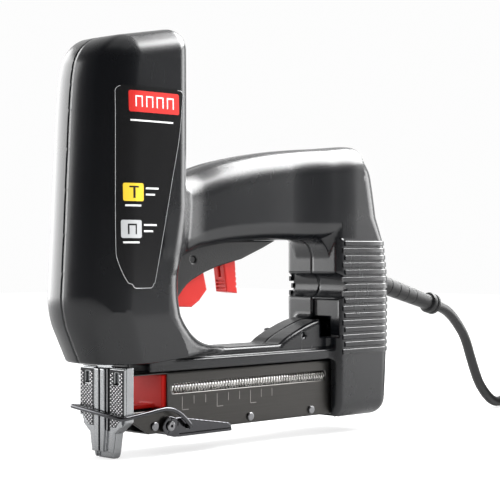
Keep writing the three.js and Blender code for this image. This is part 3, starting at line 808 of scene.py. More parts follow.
# ---------- studio ----------
@dataclass
class Studio:
    """The camera, the pale floor and the lights around the tool."""

    eye: Point = (-517.158, -629.769, 113.442)
    turn: float = -45.0
    lens: float = 107.06
    aim: Point = (90.0, 0.0, 120.0)

    def camera(self) -> None:
        """Sets up the camera: level, and turned to look along the tool from its front left."""
        data = bpy.data.cameras.new("camera")
        data.lens, data.sensor_width = self.lens, 36.0
        data.clip_start, data.clip_end = 0.05, 20.0
        camera = bpy.data.objects.new("camera", data)
        camera.location = to_frame([self.eye])[0]
        camera.rotation_euler = (math.pi / 2, 0, math.radians(self.turn))
        bpy.context.scene.collection.objects.link(camera)
        bpy.context.scene.camera = camera

    def floor(self) -> None:
        """Lays a wide pale floor under the tool."""
        reach = 2600.0
        points = np.array([(-reach, -reach, -0.3), (reach, -reach, -0.3), (reach, reach, -0.3),
                           (-reach, reach, -0.3)])
        material = bpy.data.materials.new("pale_floor")
        material.use_nodes = True
        shader = material.node_tree.nodes["Principled BSDF"]
        shader.inputs["Base Color"].default_value = (0.36, 0.36, 0.36, 1)
        shader.inputs["Roughness"].default_value = 0.9
        shader.inputs["Specular IOR Level"].default_value = 0.0
        sheet = Sheet(material.node_tree)
        mirrored = sheet.node("ShaderNodeLightPath").outputs["Is Glossy Ray"]
        glow = sheet.node("ShaderNodeMix", {"data_type": "FLOAT"}, i0=mirrored, i2=0.66, i3=0.08)
        shader.inputs["Emission Color"].default_value = (1, 1, 1, 1)
        sheet.tree.links.new(glow.outputs[0], shader.inputs["Emission Strength"])
        mesh_piece("floor", points, [[0, 1, 2, 3]], material)

    def lamp(self, name: str, way: Point, far: float, size: tuple[float, float], power: float) -> None:
        """Hangs a soft panel.

        Args:
            name: Its name.
            way: Its direction from the tool, on the drawing.
            far: Its distance in metres.
            size: Its width and height in metres.
            power: Its power in watts.
        """
        data = bpy.data.lights.new(name, "AREA")
        data.shape, data.size, data.size_y, data.energy = "RECTANGLE", size[0], size[1], power
        light = bpy.data.objects.new(name, data)
        aim = Vector(to_frame([self.aim])[0])
        light.location = aim + Vector(way).normalized() * far
        light.rotation_euler = (aim - light.location).to_track_quat("-Z", "Y").to_euler()
        light.visible_camera = False
        bpy.context.scene.collection.objects.link(light)

    def air(self) -> None:
        """Lights the surroundings: bright behind the tool, dark behind the camera."""
        world = bpy.data.worlds.new("surroundings")
        bpy.context.scene.world = world
        world.use_nodes = True
        sheet = Sheet(world.node_tree)
        shade = world.node_tree.nodes["Background"]
        shade.inputs["Color"].default_value = (1, 1, 1, 1)
        way = sheet.node("ShaderNodeTexCoord").outputs["Generated"]
        along = sheet.node("ShaderNodeVectorMath", {"operation": "DOT_PRODUCT"},
                           i0=way, i1=(0.66, 0.66, 0.35))
        level = sheet.node("ShaderNodeMapRange", Value=along.outputs["Value"], From_Min=0.3, From_Max=0.95,
                           To_Min=0.035, To_Max=0.9)
        mirrored = sheet.node("ShaderNodeLightPath").outputs["Is Glossy Ray"]
        strength = sheet.node("ShaderNodeMix", {"data_type": "FLOAT"}, i0=mirrored, i2=0.98,
                              i3=level.outputs[0])
        sheet.tree.links.new(strength.outputs[0], shade.inputs["Strength"])

    def light(self) -> None:
        """Places the soft panels."""
        self.air()
        self.lamp("overhead_panel", (0.72, -0.12, 0.68), 1.3, (1.2, 0.8), 50.0)
        self.lamp("left_panel", (-0.3, 0.95, 0.1), 1.3, (1.7, 1.4), 34.0)
        self.lamp("side_panel", (0.93, -0.34, 0.1), 1.5, (0.8, 0.8), 12.0)
        self.lamp("floor_wash", (0.1, -0.2, 1.0), 2.2, (2.0, 2.0), 8.0)
        bpy.context.scene.view_settings.view_transform = "Standard"


# ---------- lead ----------
@dataclass
class Lead:
    """The mains lead: its sleeve at the handle, its free run, its stored coil, its tie and its plug."""

    finishes: Finishes
    radius: float = 3.5
    length: float = 2400.0
    relief_start: Point = (210.5, 0.0, 97.5)
    relief_tilt: float = 15.0
    relief_length: float = 83.7
    relief_root: float = 6.0
    relief_end: float = 5.1
    coil: Point = (422.0, -20.0, 4.4)
    wide: float = 42.1
    pitch: float = 7.1
    turn_points: int = 24
    plug_tail: Point = (412.0, -55.0, 38.3)
    run: tuple[Point, ...] = (
        (291.6, 0, 75.8), (297.4, 0, 74.2), (303.5, 0, 71.9), (309.2, 0, 68.5), (314.3, 0, 64.3),
        (319.0, 0, 59.8), (323.2, 0, 55.0), (326.6, 0, 49.8), (331.9, 0, 38.4), (337.4, 0, 27.2),
        (341.4, 0, 20.4), (346.4, 0, 14.6), (352.2, 0.2, 9.7), (358.8, 1.2, 6.3), (366.0, 3.0, 4.6),
        (373.5, 5.5, 4.0), (381.0, 8.5, 4.0), (391.0, 12.6, 4.1), (398.0, 15.6, 4.3))

    def way(self) -> tuple[float, float, float]:
        """Returns the direction of the sleeve at the handle."""
        tilt = math.radians(self.relief_tilt)
        return (math.cos(tilt), 0.0, -math.sin(tilt))

    def winding(self) -> list[Point]:
        """Returns the points of the coil, layer on layer, and of the rise to the plug."""
        wide, mid, close = self.wide, self.wide - self.pitch, self.wide - 2 * self.pitch
        layers = [self.coil[2] + k * self.pitch for k in range(4)]
        turns = [(wide, 0), (mid, 0), (close, 0), (close, 1), (mid, 1), (wide, 1), (wide, 2), (mid, 2),
                 (close, 2), (close, 3), (mid, 3)]
        points = [self._on_coil(turn, wide, layers[0]) for turn in (-0.066, -0.033)]
        for k, (radius, layer) in enumerate(turns[:-1]):
            after = turns[k + 1]
            for j in range(self.turn_points):
                ease = max(0.0, (j / self.turn_points - 0.8) / 0.2)
                ease = ease * ease * (3 - 2 * ease)
                points.append(self._on_coil(k + j / self.turn_points, radius + (after[0] - radius) * ease,
                                            layers[layer] + (after[1] - layer) * self.pitch * ease))
        for j in range(self.turn_points // 2):
            part = j / (self.turn_points / 2)
            lift = max(0.0, (part - 0.15) / 0.85)
            lift = lift * lift * (3 - 2 * lift)
            points.append(self._on_coil(len(turns) - 1 + part / 2, mid,
                                        layers[3] + (self.plug_tail[2] - layers[3]) * lift))
        return points

    def _on_coil(self, turn: float, radius: float, z: float) -> Point:
        """Returns a place on the coil after a number of turns, clockwise from its +y side."""
        angle = math.pi / 2 - 2 * math.pi * turn
        return (self.coil[0] + radius * math.cos(angle), self.coil[1] + radius * math.sin(angle), z)

    def flex(self) -> bpy.types.Object:
        """Makes the lead as one curve."""
        tail = self.plug_tail
        route = [*self.run, *self.winding()]
        route += [(tail[0] + 4.0, tail[1], tail[2]), (tail[0] - 3.0, tail[1], tail[2])]
        curve = bpy.data.curves.new("power_lead", "CURVE")
        curve.dimensions, curve.bevel_depth, curve.bevel_resolution = "3D", self.radius * MM, 4
        curve.resolution_u, curve.use_fill_caps = 3, True
        spline = curve.splines.new("BEZIER")
        spline.bezier_points.add(len(route) - 1)
        for knot, at in zip(spline.bezier_points, to_frame(route)):
            knot.co, knot.handle_left_type, knot.handle_right_type = at, "AUTO", "AUTO"
        curve.materials.append(self.finishes["lead_sheath"])
        lead = bpy.data.objects.new("power_lead", curve)
        bpy.context.scene.collection.objects.link(lead)
        return lead

    def sleeve(self) -> bpy.types.Object:
        """Makes the tapered sleeve at the handle, with its lugged end ring."""
        root, end, far = self.relief_root, self.relief_end, self.relief_length
        rings = [(3.6, 0.0), (8.0, 0.0), (8.0, 2.2), (root + 0.4, 2.5), (root, 4.0), (root - 0.1, 14.0)]
        for k in range(5):
            s = 20.0 + 9.0 * k
            r = root + (end - root) * (s - 14.0) / 60.0
            rings += [(r, s), (r - 0.25, s + 0.4), (r - 0.25, s + 1.2), (r, s + 1.6)]
        rings += [(end, 72.0), (end + 0.1, 74.2), (6.6, 75.0), (7.0, 75.8), (7.0, 77.6), (6.2, 78.3),
                  (6.2, 79.3), (6.9, 80.0), (6.9, 81.6), (6.0, 83.0), (4.6, far), (3.6, far)]
        return turned_piece("lead_sleeve", rings, self.relief_start, self.way(), self.finishes["soft_rubber"])

    def plug(self) -> bpy.types.Object:
        """Makes the plug's moulded body, with grip grooves and a collar round the lead."""
        x, y, z = self.plug_tail
        body = plate(Axis.X, [(y - 12, z - 8), (y + 12, z - 8), (y + 12, z + 8), (y - 12, z + 8)],
                     x - 38, x - 12, 2.0, 4.0)
        grooves = [block((x - 31 + 4 * k, y - 20, z + 7.2), (x - 29.4 + 4 * k, y + 20, z + 12), 0.5)
                   for k in range(4)]
        neck = rod(Axis.X, (y, z), 5.2, x - 14, x, 1.2)
        entry = rod(Axis.X, (y, z), 3.0, x - 2.5, x + 2)
        shape = less(either(body, neck, ease=2.0), *grooves, entry, ease=0.4)
        return skin_piece("plug_moulding", shape, (x - 38, y - 12, z - 8), (x, y + 12, z + 8), 0.8,
                          self.finishes["soft_rubber"])

    def tie(self) -> bpy.types.Object:
        """Makes the strap round one side of the coil."""
        low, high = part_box("cord_tie")
        x0, x1 = low.x / MM + MIDDLE_X, high.x / MM + MIDDLE_X
        y0, y1, z0, z1 = low.y / MM, high.y / MM, low.z / MM, high.z / MM
        outer = plate(Axis.Y, [(x0, z0), (x1, z0), (x1, z1), (x0, z1)], y0, y1, 0.2, 4.0)
        inner = plate(Axis.Y, [(x0 + 0.8, z0 + 0.8), (x1 - 0.8, z0 + 0.8), (x1 - 0.8, z1 - 0.8),
                               (x0 + 0.8, z1 - 0.8)], y0 - 5, y1 + 5, 0.0, 3.4)
        return skin_piece("coil_strap", less(outer, inner), (x0, y0, z0), (x1, y1, z1), 0.55,
                          self.finishes["pebbled_black"])

    def build(self) -> None:
        lead = dress(self.flex(), "frame", "rubber", "power_cord", "cord_coil")
        dress(self.sleeve(), "frame", "rubber", "strain_relief")
        plug = dress(self.plug(), "frame", "rubber", "plug_body")
        tie = dress(self.tie(), "frame", "black_plastic", "cord_tie")
        for blade in ("plug_blade_1", "plug_blade_2"):
            finish_node(blade, self.finishes["plain_brass"])
        finish_node("cord_clamp", self.finishes["plain_black"])


# ---------- housing ----------
@dataclass(frozen=True)
class Profile:
    """A smooth value that runs through given places without overshooting."""

    stations: tuple[Corner, ...]

    def __call__(self, at: Array) -> Array:
        """Returns the value at places; beyond the ends it keeps the end value."""
        x, y = np.array(self.stations, float).T
        h, d = np.diff(x), np.diff(y) / np.diff(x)
        inner = np.zeros(len(d) - 1)
        same = d[:-1] * d[1:] > 0
        w1, w2 = 2 * h[1:] + h[:-1], h[1:] + 2 * h[:-1]
        inner[same] = ((w1 + w2)[same]) / (w1[same] / d[:-1][same] + w2[same] / d[1:][same])
        slope = np.concatenate([[d[0]], inner, [d[-1]]])
        at = np.clip(at, x[0], x[-1])
        k = np.clip(np.searchsorted(x, at, side="right") - 1, 0, len(h) - 1)
        t = (at - x[k]) / h[k]
        a, b = (1 + 2 * t) * (1 - t) ** 2, t * (1 - t) ** 2
        c, e = t * t * (3 - 2 * t), t * t * (t - 1)
        return a * y[k] + b * h[k] * slope[k] + c * y[k + 1] + e * h[k] * slope[k + 1]


@dataclass
class Housing:
    """The two moulded halves: tower, grip, rear column, base bar and the skirt between them."""

    finishes: Finishes
    wall: float = 3.1
    seam: float = 0.15
    cell: float = 1.15
    crown: float = 6.6
    crown_at: float = 22.0
    crease: float = 79.0
    crease_x: float = -29.6
    crease_slope: float = 0.4627
    tower_low: float = 52.2
    tower_front: Profile = Profile(((60, -31), (79, -29.6), (120, -27.2), (160, -25.2), (205, -22.2),
                                    (221, -18.9), (240, -14)))
    tower_rear: Profile = Profile(((57.4, 77), (58.7, 69.5), (61.3, 58.5), (64, 52), (69.4, 44.5), (75, 40),
                                   (80, 37.8), (91, 36.4), (104, 37), (140, 39.4), (200, 41), (240, 42)))
    rear_edge: Profile = Profile(((58.7, 3), (61.3, 5), (69.4, 9), (80, 13), (97, 14), (135, 10)))
    tower_half: Profile = Profile(((40, 24.5), (60, 27.5), (80, 29.5), (150, 28.8), (215, 27.2), (240, 26)))
    grip_top: Profile = Profile(((20, 147), (40, 153.5), (60, 159), (76, 163.7), (95, 167.7), (114, 171),
                                 (141, 174.3), (168, 176.5), (190, 178.4), (215, 178.4)))
    grip_low: Profile = Profile(((20, 106), (46, 109.6), (62, 114.2), (86, 117.6), (118, 119.3),
                                 (190, 119.7)))
    grip_half: Profile = Profile(((20, 23), (44, 20), (60, 18.5), (130, 18.5), (165, 21.4),
                                  (185, 22.5), (192, 22.5)))
    column_rear: Profile = Profile(((0, 216.4), (32, 217.8), (55, 218.8), (90, 219), (112, 216.4),
                                    (137, 211.6), (152, 208.6), (162, 206.2), (180, 201.5)))
    column_half: Profile = Profile(((5, 21.6), (14, 21.9), (40, 22.5), (179, 22.5)))
    column_front: float = 167.5
    column_low: float = 9.5
    ribs_end: float = 120.4
    groove: tuple[float, float, float] = (166.7, 91.5, 7.5)
    base_low: float = 46.6
    ledge: float = 52.4
    base_top: Profile = Profile(((18, 57.3), (124, 57.3), (130, 60.4), (136.5, 63.3), (142, 65.4),
                                 (148, 67.6), (158, 70.4), (172, 72.5)))
    bar_half: float = 13.8
    flange_half: float = 17.6
    skirt_half: Profile = Profile(((20, 29.6), (28, 28.9), (37, 27.2), (44, 25), (56, 20.6), (66, 16.8),
                                  (80, 12.5)))
    skirt_lift: float = 0.075
    screws: tuple[Corner, ...] = ((-8, 212), (29, 214), (24, 70), (122, 133), (196, 158), (186, 66),
                                  (145, 62))
    rib_count: int = 16
    rib_pitch: float = 4.45
    rib_from: float = 117.5

    def tower(self, p: Array) -> Array:
        """Measures points against the tower."""
        x, a, z = p[:, 0], np.abs(p[:, 1]), p[:, 2]
        crown = self.crown * (a / self.crown_at) ** 2
        front = self.tower_front(z) + crown - x
        below = (self.crease_x + (self.crease - z) * self.crease_slope + crown - x) * 0.908
        d = rounded_max(front, below, 5.0)
        narrowed = self.skirt_half(x) + 4 * np.clip((z - 100) / 30, 0, 1)
        d = rounded_max(d, a - np.minimum(self.tower_half(z), narrowed), 13.0)
        rear = self.tower_rear(z)
        lean = np.hypot(1, self.tower_rear(z + 0.5) - self.tower_rear(z - 0.5))
        d = rounded_max(d, (x - rear) / lean, self.rear_edge(z))
        d = rounded_max(d, (z - 229.75 - 0.185 * x) * 0.983, 13.0)
        low = self.tower_low + np.maximum(x - 12, 0) * self.skirt_lift - z
        return rounded_max(d, low, 1.5)

    def grip(self, p: Array) -> Array:
        """Measures points against the grip."""
        x, a, z = p[:, 0], np.abs(p[:, 1]), p[:, 2]
        d = rounded_max(a - self.grip_half(x), z - self.grip_top(x), 16.0)
        d = rounded_max(d, self.grip_low(x) - z, 11.0)
        return np.maximum(d, np.maximum(24 - x, x - 192))

    def column(self, p: Array) -> Array:
        """Measures points against the rear column."""
        x, a, z = p[:, 0], np.abs(p[:, 1]), p[:, 2]
        d = rounded_max(x - self.column_rear(z), z - self.grip_top(x), 20.0)
        d = rounded_max(d, self.column_low - z, 10.0)
        half = np.where(z < self.ribs_end, self.column_half(z), self.grip_half(x))
        d = rounded_max(a - half, d, 10 + 6 * np.clip((z - 118) / 16, 0, 1))
        front = np.where(z < 134, self.column_front, 181.0) - x
        d = rounded_max(d, front, 4.0)
        gx, gz, gr = self.groove
        return rounded_max(d, gr - np.hypot(x - gx, z - gz), 1.0)

    def base(self, p: Array) -> Array:
        """Measures points against the bar along the magazine, its ledge and its rise to the column."""
        x, a, z = p[:, 0], np.abs(p[:, 1]), p[:, 2]
        ends = np.maximum(18 - x, x - 172)
        bar = rounded_max(a - self.bar_half, z - self.base_top(x), 2.5)
        bar = np.maximum(np.maximum(bar, self.base_low - z), ends)
        flange = rounded_max(a - self.flange_half, z - self.ledge, 0.9)
        flange = np.maximum(np.maximum(flange, self.base_low - z), ends)
        return -rounded_max(-bar, -flange, 0.8)

    def outside(self, p: Array) -> Array:
        """Measures points against the outer form of both halves together."""
        d = -self.tower(p)
        d = rounded_max(d, -self.grip(p), 9.0)
        inner = np.clip((130 - p[:, 2]) / 10, 0, 1) * np.clip((21 - np.abs(p[:, 1])) / 7, 0, 1)
        d = rounded_max(d, -self.column(p), 12.0 * inner)
        return -rounded_max(d, -self.base(p), 3.0)

    def rooms(self) -> Shape:
        """Returns the spaces for what comes through the housing."""
        tilt = math.radians(15)

        def relief(p: Array) -> Array:
            """Measures points against the lead sleeve's hole."""
            dx, dz = p[:, 0] - 210.5, p[:, 2] - 97.5
            along = dx * math.cos(tilt) - dz * math.sin(tilt)
            off = dx * math.sin(tilt) + dz * math.cos(tilt)
            return np.maximum(np.hypot(off, p[:, 1]) - 6.6, np.maximum(2 - along, along - 30))

        return either(
            block((-4, -15.5, 6), (177.5, 15.5, 46.4)), block((-3.4, -19.4, 40), (9.4, 19.4, 56.2)),
            block((37, -9.9, 74), (126, 9.9, 122)), block((160, -21.0, 60), (169.4, -1.0, 83.2), 0.6), relief)

    def half(self, side: Side) -> Shape:
        """Returns one half of the housing."""
        rooms, sign = self.rooms(), side.value
        holes = [rod(Axis.Y, at, 1.7, -13, 60) for at in self.screws]
        holes += [rod(Axis.Y, at, 3.7, 15.5, 60) for at in self.screws]
        bosses = either(*(rod(Axis.Y, at, 4.0, -40, 40) for at in self.screws))
        solenoid_room = block((-21.5, -20, 90), (26.7, 20, 206))

        def run(p: Array) -> Array:
            """Measures points against the half."""
            outer = self.outside(p)
            shell = np.maximum(outer, -(outer + self.wall))
            post = np.maximum(np.maximum(bosses(p), outer + 1.5), -solenoid_room(p))
            d = np.minimum(shell, post)
            d = rounded_max(d, -rooms(p), 0.4)
            for hole in holes:
                d = np.maximum(d, -hole(p))
            return rounded_max(d, self.seam - sign * p[:, 1], 0.35)

        return run

    def half_piece(self, side: Side) -> bpy.types.Object:
        """Makes one half of the housing."""
        y0, y1 = (-30.0, 0.0) if side is Side.LEFT else (0.0, 30.0)
        name = "shell_" + side.name.lower()
        return skin_piece(name, self.half(side), (-30.5, y0, 9), (219.5, y1, 237.5), self.cell,
                          self.finishes["charcoal_shell"])

    def rib_path(self, z: float, index: int, sign: int) -> tuple[Array, Array]:
        """Returns the line of one rib round the column and its width along the way."""
        nose = 172.5 if index % 2 else 174.5
        half = float(self.column_half(np.array([z]))[0])
        rear = float(self.column_rear(np.array([z]))[0])
        points = [(nose - 1.6, half), (nose, half), (rear - 22, half), (rear - 10, half)]
        widths = [0.12, 1.0, 1.0, 1.0]
        for k in range(1, 8):
            t = math.radians(90 * k / 8)
            points.append((rear - 10 + 10 * math.sin(t), half - 10 + 10 * math.cos(t)))
            widths.append(1.0 if k < 5 else 1.0 - (k - 4) / 4)
        return np.array([(x, sign * y, z) for x, y in points]), np.array(widths)

    def ribs(self, side: Side) -> bpy.types.Object:
        """Makes the ribs across one side of the column."""
        heights = [self.rib_from - i * self.rib_pitch for i in range(self.rib_count)]
        made = [self.rib_path(z, i, side.value) for i, z in enumerate(heights)]
        name = "grip_ribs_" + side.name.lower()
        source = path_curve(name, [path for path, _ in made], [widths for _, widths in made])
        for spline in source.splines:
            for point in spline.points:
                point.tilt = 0.0
        source.twist_mode = "Z_UP"
        tree = Tree(name + " bars")
        high = tree.size("Bar height", 3.1 * MM)
        deep = tree.size("Bar depth", 1.4 * MM)
        bar = tree.node("GeometryNodeCurvePrimitiveQuadrilateral", Width=deep, Height=high)
        soft = tree.node("GeometryNodeFilletCurve", Curve=bar.outputs[0], Radius=0.35 * MM)
        swept = tree.node("GeometryNodeCurveToMesh", Curve=tree.start.outputs[0],
                          Profile_Curve=soft.outputs[0], Fill_Caps=True)
        return tree.bake(name, source, swept.outputs[0], self.finishes["charcoal_shell"], 28.0)

    def side_at(self, x: Array, z: Array) -> Array:
        """Returns the y of the left outer surface at places on it."""
        inner, outer = np.full(len(x), -12.0), np.full(len(x), -32.0)
        for _ in range(26):
            middle = (inner + outer) / 2
            within = self.tower(np.stack([x, middle, z], 1)) < 0
            inner, outer = np.where(within, middle, inner), np.where(within, outer, middle)
        return (inner + outer) / 2

    def build(self) -> None:
        """Makes the halves and their ribs."""
        dress(self.half_piece(Side.LEFT), "frame", "shell_plastic", "housing_left")
        dress(self.half_piece(Side.RIGHT), "frame", "shell_plastic", "housing_right")
        for side in Side:
            dress(self.ribs(side), "frame", "shell_plastic")


# ---------- side film ----------
def sheet_body(front: Array, back: Array) -> tuple[Array, list[list[int]]]:
    """Closes two matching grids of points into a thin body.

    Args:
        front: Rows of points of the outer face, rows upwards and columns along +x.
        back: The inner face, in the same order.

    Returns:
        All the points, and the faces.
    """
    rows, columns = front.shape[:2]
    shift = rows * columns

    def at(i: int, j: int) -> int:
        """Returns the number of a point of the outer face."""
        return i * columns + j

    faces = []
    for i in range(rows - 1):
        for j in range(columns - 1):
            ring = [at(i, j), at(i, j + 1), at(i + 1, j + 1), at(i + 1, j)]
            faces += [ring, [k + shift for k in ring[::-1]]]
    top = rows - 1
    for j in range(columns - 1):
        faces.append([at(0, j), at(0, j) + shift, at(0, j + 1) + shift, at(0, j + 1)])
        faces.append([at(top, j + 1), at(top, j + 1) + shift, at(top, j) + shift, at(top, j)])
    right = columns - 1
    for i in range(rows - 1):
        faces.append([at(i, 0), at(i + 1, 0), at(i + 1, 0) + shift, at(i, 0) + shift])
        faces.append([at(i + 1, right), at(i, right), at(i, right) + shift, at(i + 1, right) + shift])
    return np.concatenate([front.reshape(-1, 3), back.reshape(-1, 3)]), faces


@dataclass
class SideFilm:
    """The glossy film on the tower's left side, with its border and its printed signs."""

    finishes: Finishes
    housing: Housing
    low: float = 92.5
    high: float = 201.0
    corner: float = 4.0
    left: Profile = Profile(((92.5, -5.5), (98, -9.4), (104, -12.2), (112, -14.2), (201, -12.5)))
    right: Profile = Profile(((92.5, 10.5), (112, 15.2), (150, 24.0), (178, 30.4), (201, 33.4)))

    def patch(self, name: str, left: Callable[[Array], Array], right: Callable[[Array], Array], low: float,
              high: float, corner: float, lift: float, material: str) -> bpy.types.Object:
        """Makes a thin patch that follows the tower's side.

        Args:
            name: The patch's name.
            left: Its front edge's x by height.
            right: Its rear edge's x by height.
            low: Its lower edge.
            high: Its upper edge.
            corner: Radius of its corners.
            lift: How far its face stands off the housing.
            material: Its finish.

        Returns:
            The patch.
        """
        turn = corner * (1 - np.cos(np.linspace(0, math.pi / 2, 7)))
        heights = np.concatenate([low + turn[:-1], np.linspace(low + corner, high - corner, 26)[:],
                                  (high - turn[:-1])[::-1]]) if corner else np.linspace(low, high, 4)
        off = np.minimum(heights - low, high - heights)
        reach = np.sqrt(np.maximum(corner**2 - (corner - off) ** 2, 0))
        inset_by = np.where(off < corner, corner - reach, 0.0)
        across = np.linspace(0, 1, 22)
        x0, x1 = left(heights) + inset_by, right(heights) - inset_by
        x = x0[:, None] + (x1 - x0)[:, None] * across
        z = np.repeat(heights[:, None], len(across), axis=1)
        y = self.housing.side_at(x.ravel(), z.ravel()).reshape(x.shape)
        front, back = np.stack([x, y - lift, z], 2), np.stack([x, y - lift + 0.3, z], 2)
        points, faces = sheet_body(front, back)
        return mesh_piece(name, points, faces, self.finishes[material], 50.0)

    def tile(self, name: str, x0: float, x1: float, z0: float, z1: float, corner: float, material: str,
             lift: float = 0.42) -> bpy.types.Object:
        """Makes one printed rectangle."""
        return self.patch(name, lambda z: np.full(len(z), x0), lambda z: np.full(len(z), x1), z0, z1, corner,
                          lift, material)

    def staple_sign(self, x: float, z: float, wide: float, high: float,
                    material: str) -> list[bpy.types.Object]:
        """Makes a printed staple: a crown and two legs."""
        line, lift = wide * 0.16, 0.46
        return [self.tile("crown", x, x + wide, z + high - line, z + high, 0, material, lift),
                self.tile("leg", x, x + line, z, z + high - line, 0, material, lift),
                self.tile("leg", x + wide - line, x + wide, z, z + high - line, 0, material, lift)]

    def signs(self) -> list[bpy.types.Object]:
        """Makes the printed signs: a red bar of staples, a line, and two tiles with a nail and a staple."""
        made = [self.tile("red_bar", -5.5, 29.5, 187.0, 198.4, 1.2, "print_red")]
        for k in range(4):
            made += self.staple_sign(-1.6 + 7.4 * k, 189.8, 5.0, 6.0, "print_white")
        made.append(self.tile("rule", -4.8, 25.0, 182.0, 182.9, 0, "print_white"))
        made.append(self.tile("yellow_tile", -9.6, 3.2, 139.4, 149.0, 1.1, "print_yellow"))
        made.append(self.tile("nail", -3.9, -2.5, 141.0, 146.6, 0, "blued_groove", 0.46))
        made.append(self.tile("nail_head", -6.2, -0.2, 146.6, 147.5, 0, "blued_groove", 0.46))
        made.append(self.tile("grey_tile", -11.0, 1.6, 119.8, 129.4, 1.1, "print_grey"))
        made += self.staple_sign(-7.4, 121.8, 5.6, 5.6, "blued_groove")
        for x, z, wide in ((4.8, 145.9, 9.0), (4.8, 142.6, 6.4), (3.2, 126.3, 9.0), (3.2, 123.0, 6.4),
                           (-8.6, 136.6, 10.0), (-10.0, 117.0, 10.0)):
            made.append(self.tile("dash", x, x + wide, z, z + 1.0, 0, "print_white"))
        return made

    def border(self) -> bpy.types.Object:
        """Makes the thin pale line round the film."""
        inner = 0.5
        heights = np.linspace(self.low + inner + 3, self.high - inner - 3, 40)
        rows = [(self.right(np.array([z]))[0] - inner, z) for z in heights]
        rows += self._bend((self.right(np.array([self.high]))[0] - inner - 3, self.high - inner - 3), 0)
        rows += self._bend((self.left(np.array([self.high]))[0] + inner + 3, self.high - inner - 3), 90)
        rows += [(self.left(np.array([z]))[0] + inner, z) for z in heights[::-1]]
        rows += self._bend((self.left(np.array([self.low]))[0] + inner + 3, self.low + inner + 3), 180)
        rows += self._bend((self.right(np.array([self.low]))[0] - inner - 3, self.low + inner + 3), 270)
        x, z = np.array(rows).T
        y = self.housing.side_at(x, z) - 0.36
        path = np.stack([x, y, z], 1)
        tree = Tree("film border line")
        thick = tree.size("Line radius", 0.13 * MM)
        around = tree.node("GeometryNodeCurvePrimitiveCircle", Resolution=5, Radius=thick)
        swept = tree.node("GeometryNodeCurveToMesh", Curve=tree.start.outputs[0],
                          Profile_Curve=around.outputs[0], Fill_Caps=True)
        curve = path_curve("film_border", [path])
        curve.splines[0].use_cyclic_u = True
        return tree.bake("film_border", curve, swept.outputs[0], self.finishes["print_grey"])

    @staticmethod
    def _bend(centre: Corner, start: float, radius: float = 3.0) -> list[Corner]:
        """Returns the points of a quarter turn from an angle in degrees."""
        angles = [math.radians(start + 90 * k / 6) for k in range(1, 6)]
        return [(centre[0] + radius * math.cos(t), centre[1] + radius * math.sin(t)) for t in angles]

    def build(self) -> None:
        """Makes the film and its prints."""
        film = self.patch("side_film", self.left, self.right, self.low, self.high, self.corner, 0.32,
                          "gloss_film")
        dress(film, "frame", "label_film", "side_label")
        dress(join("film_signs", *self.signs()), "frame", "label_film")
        dress(self.border(), "frame", "label_film")


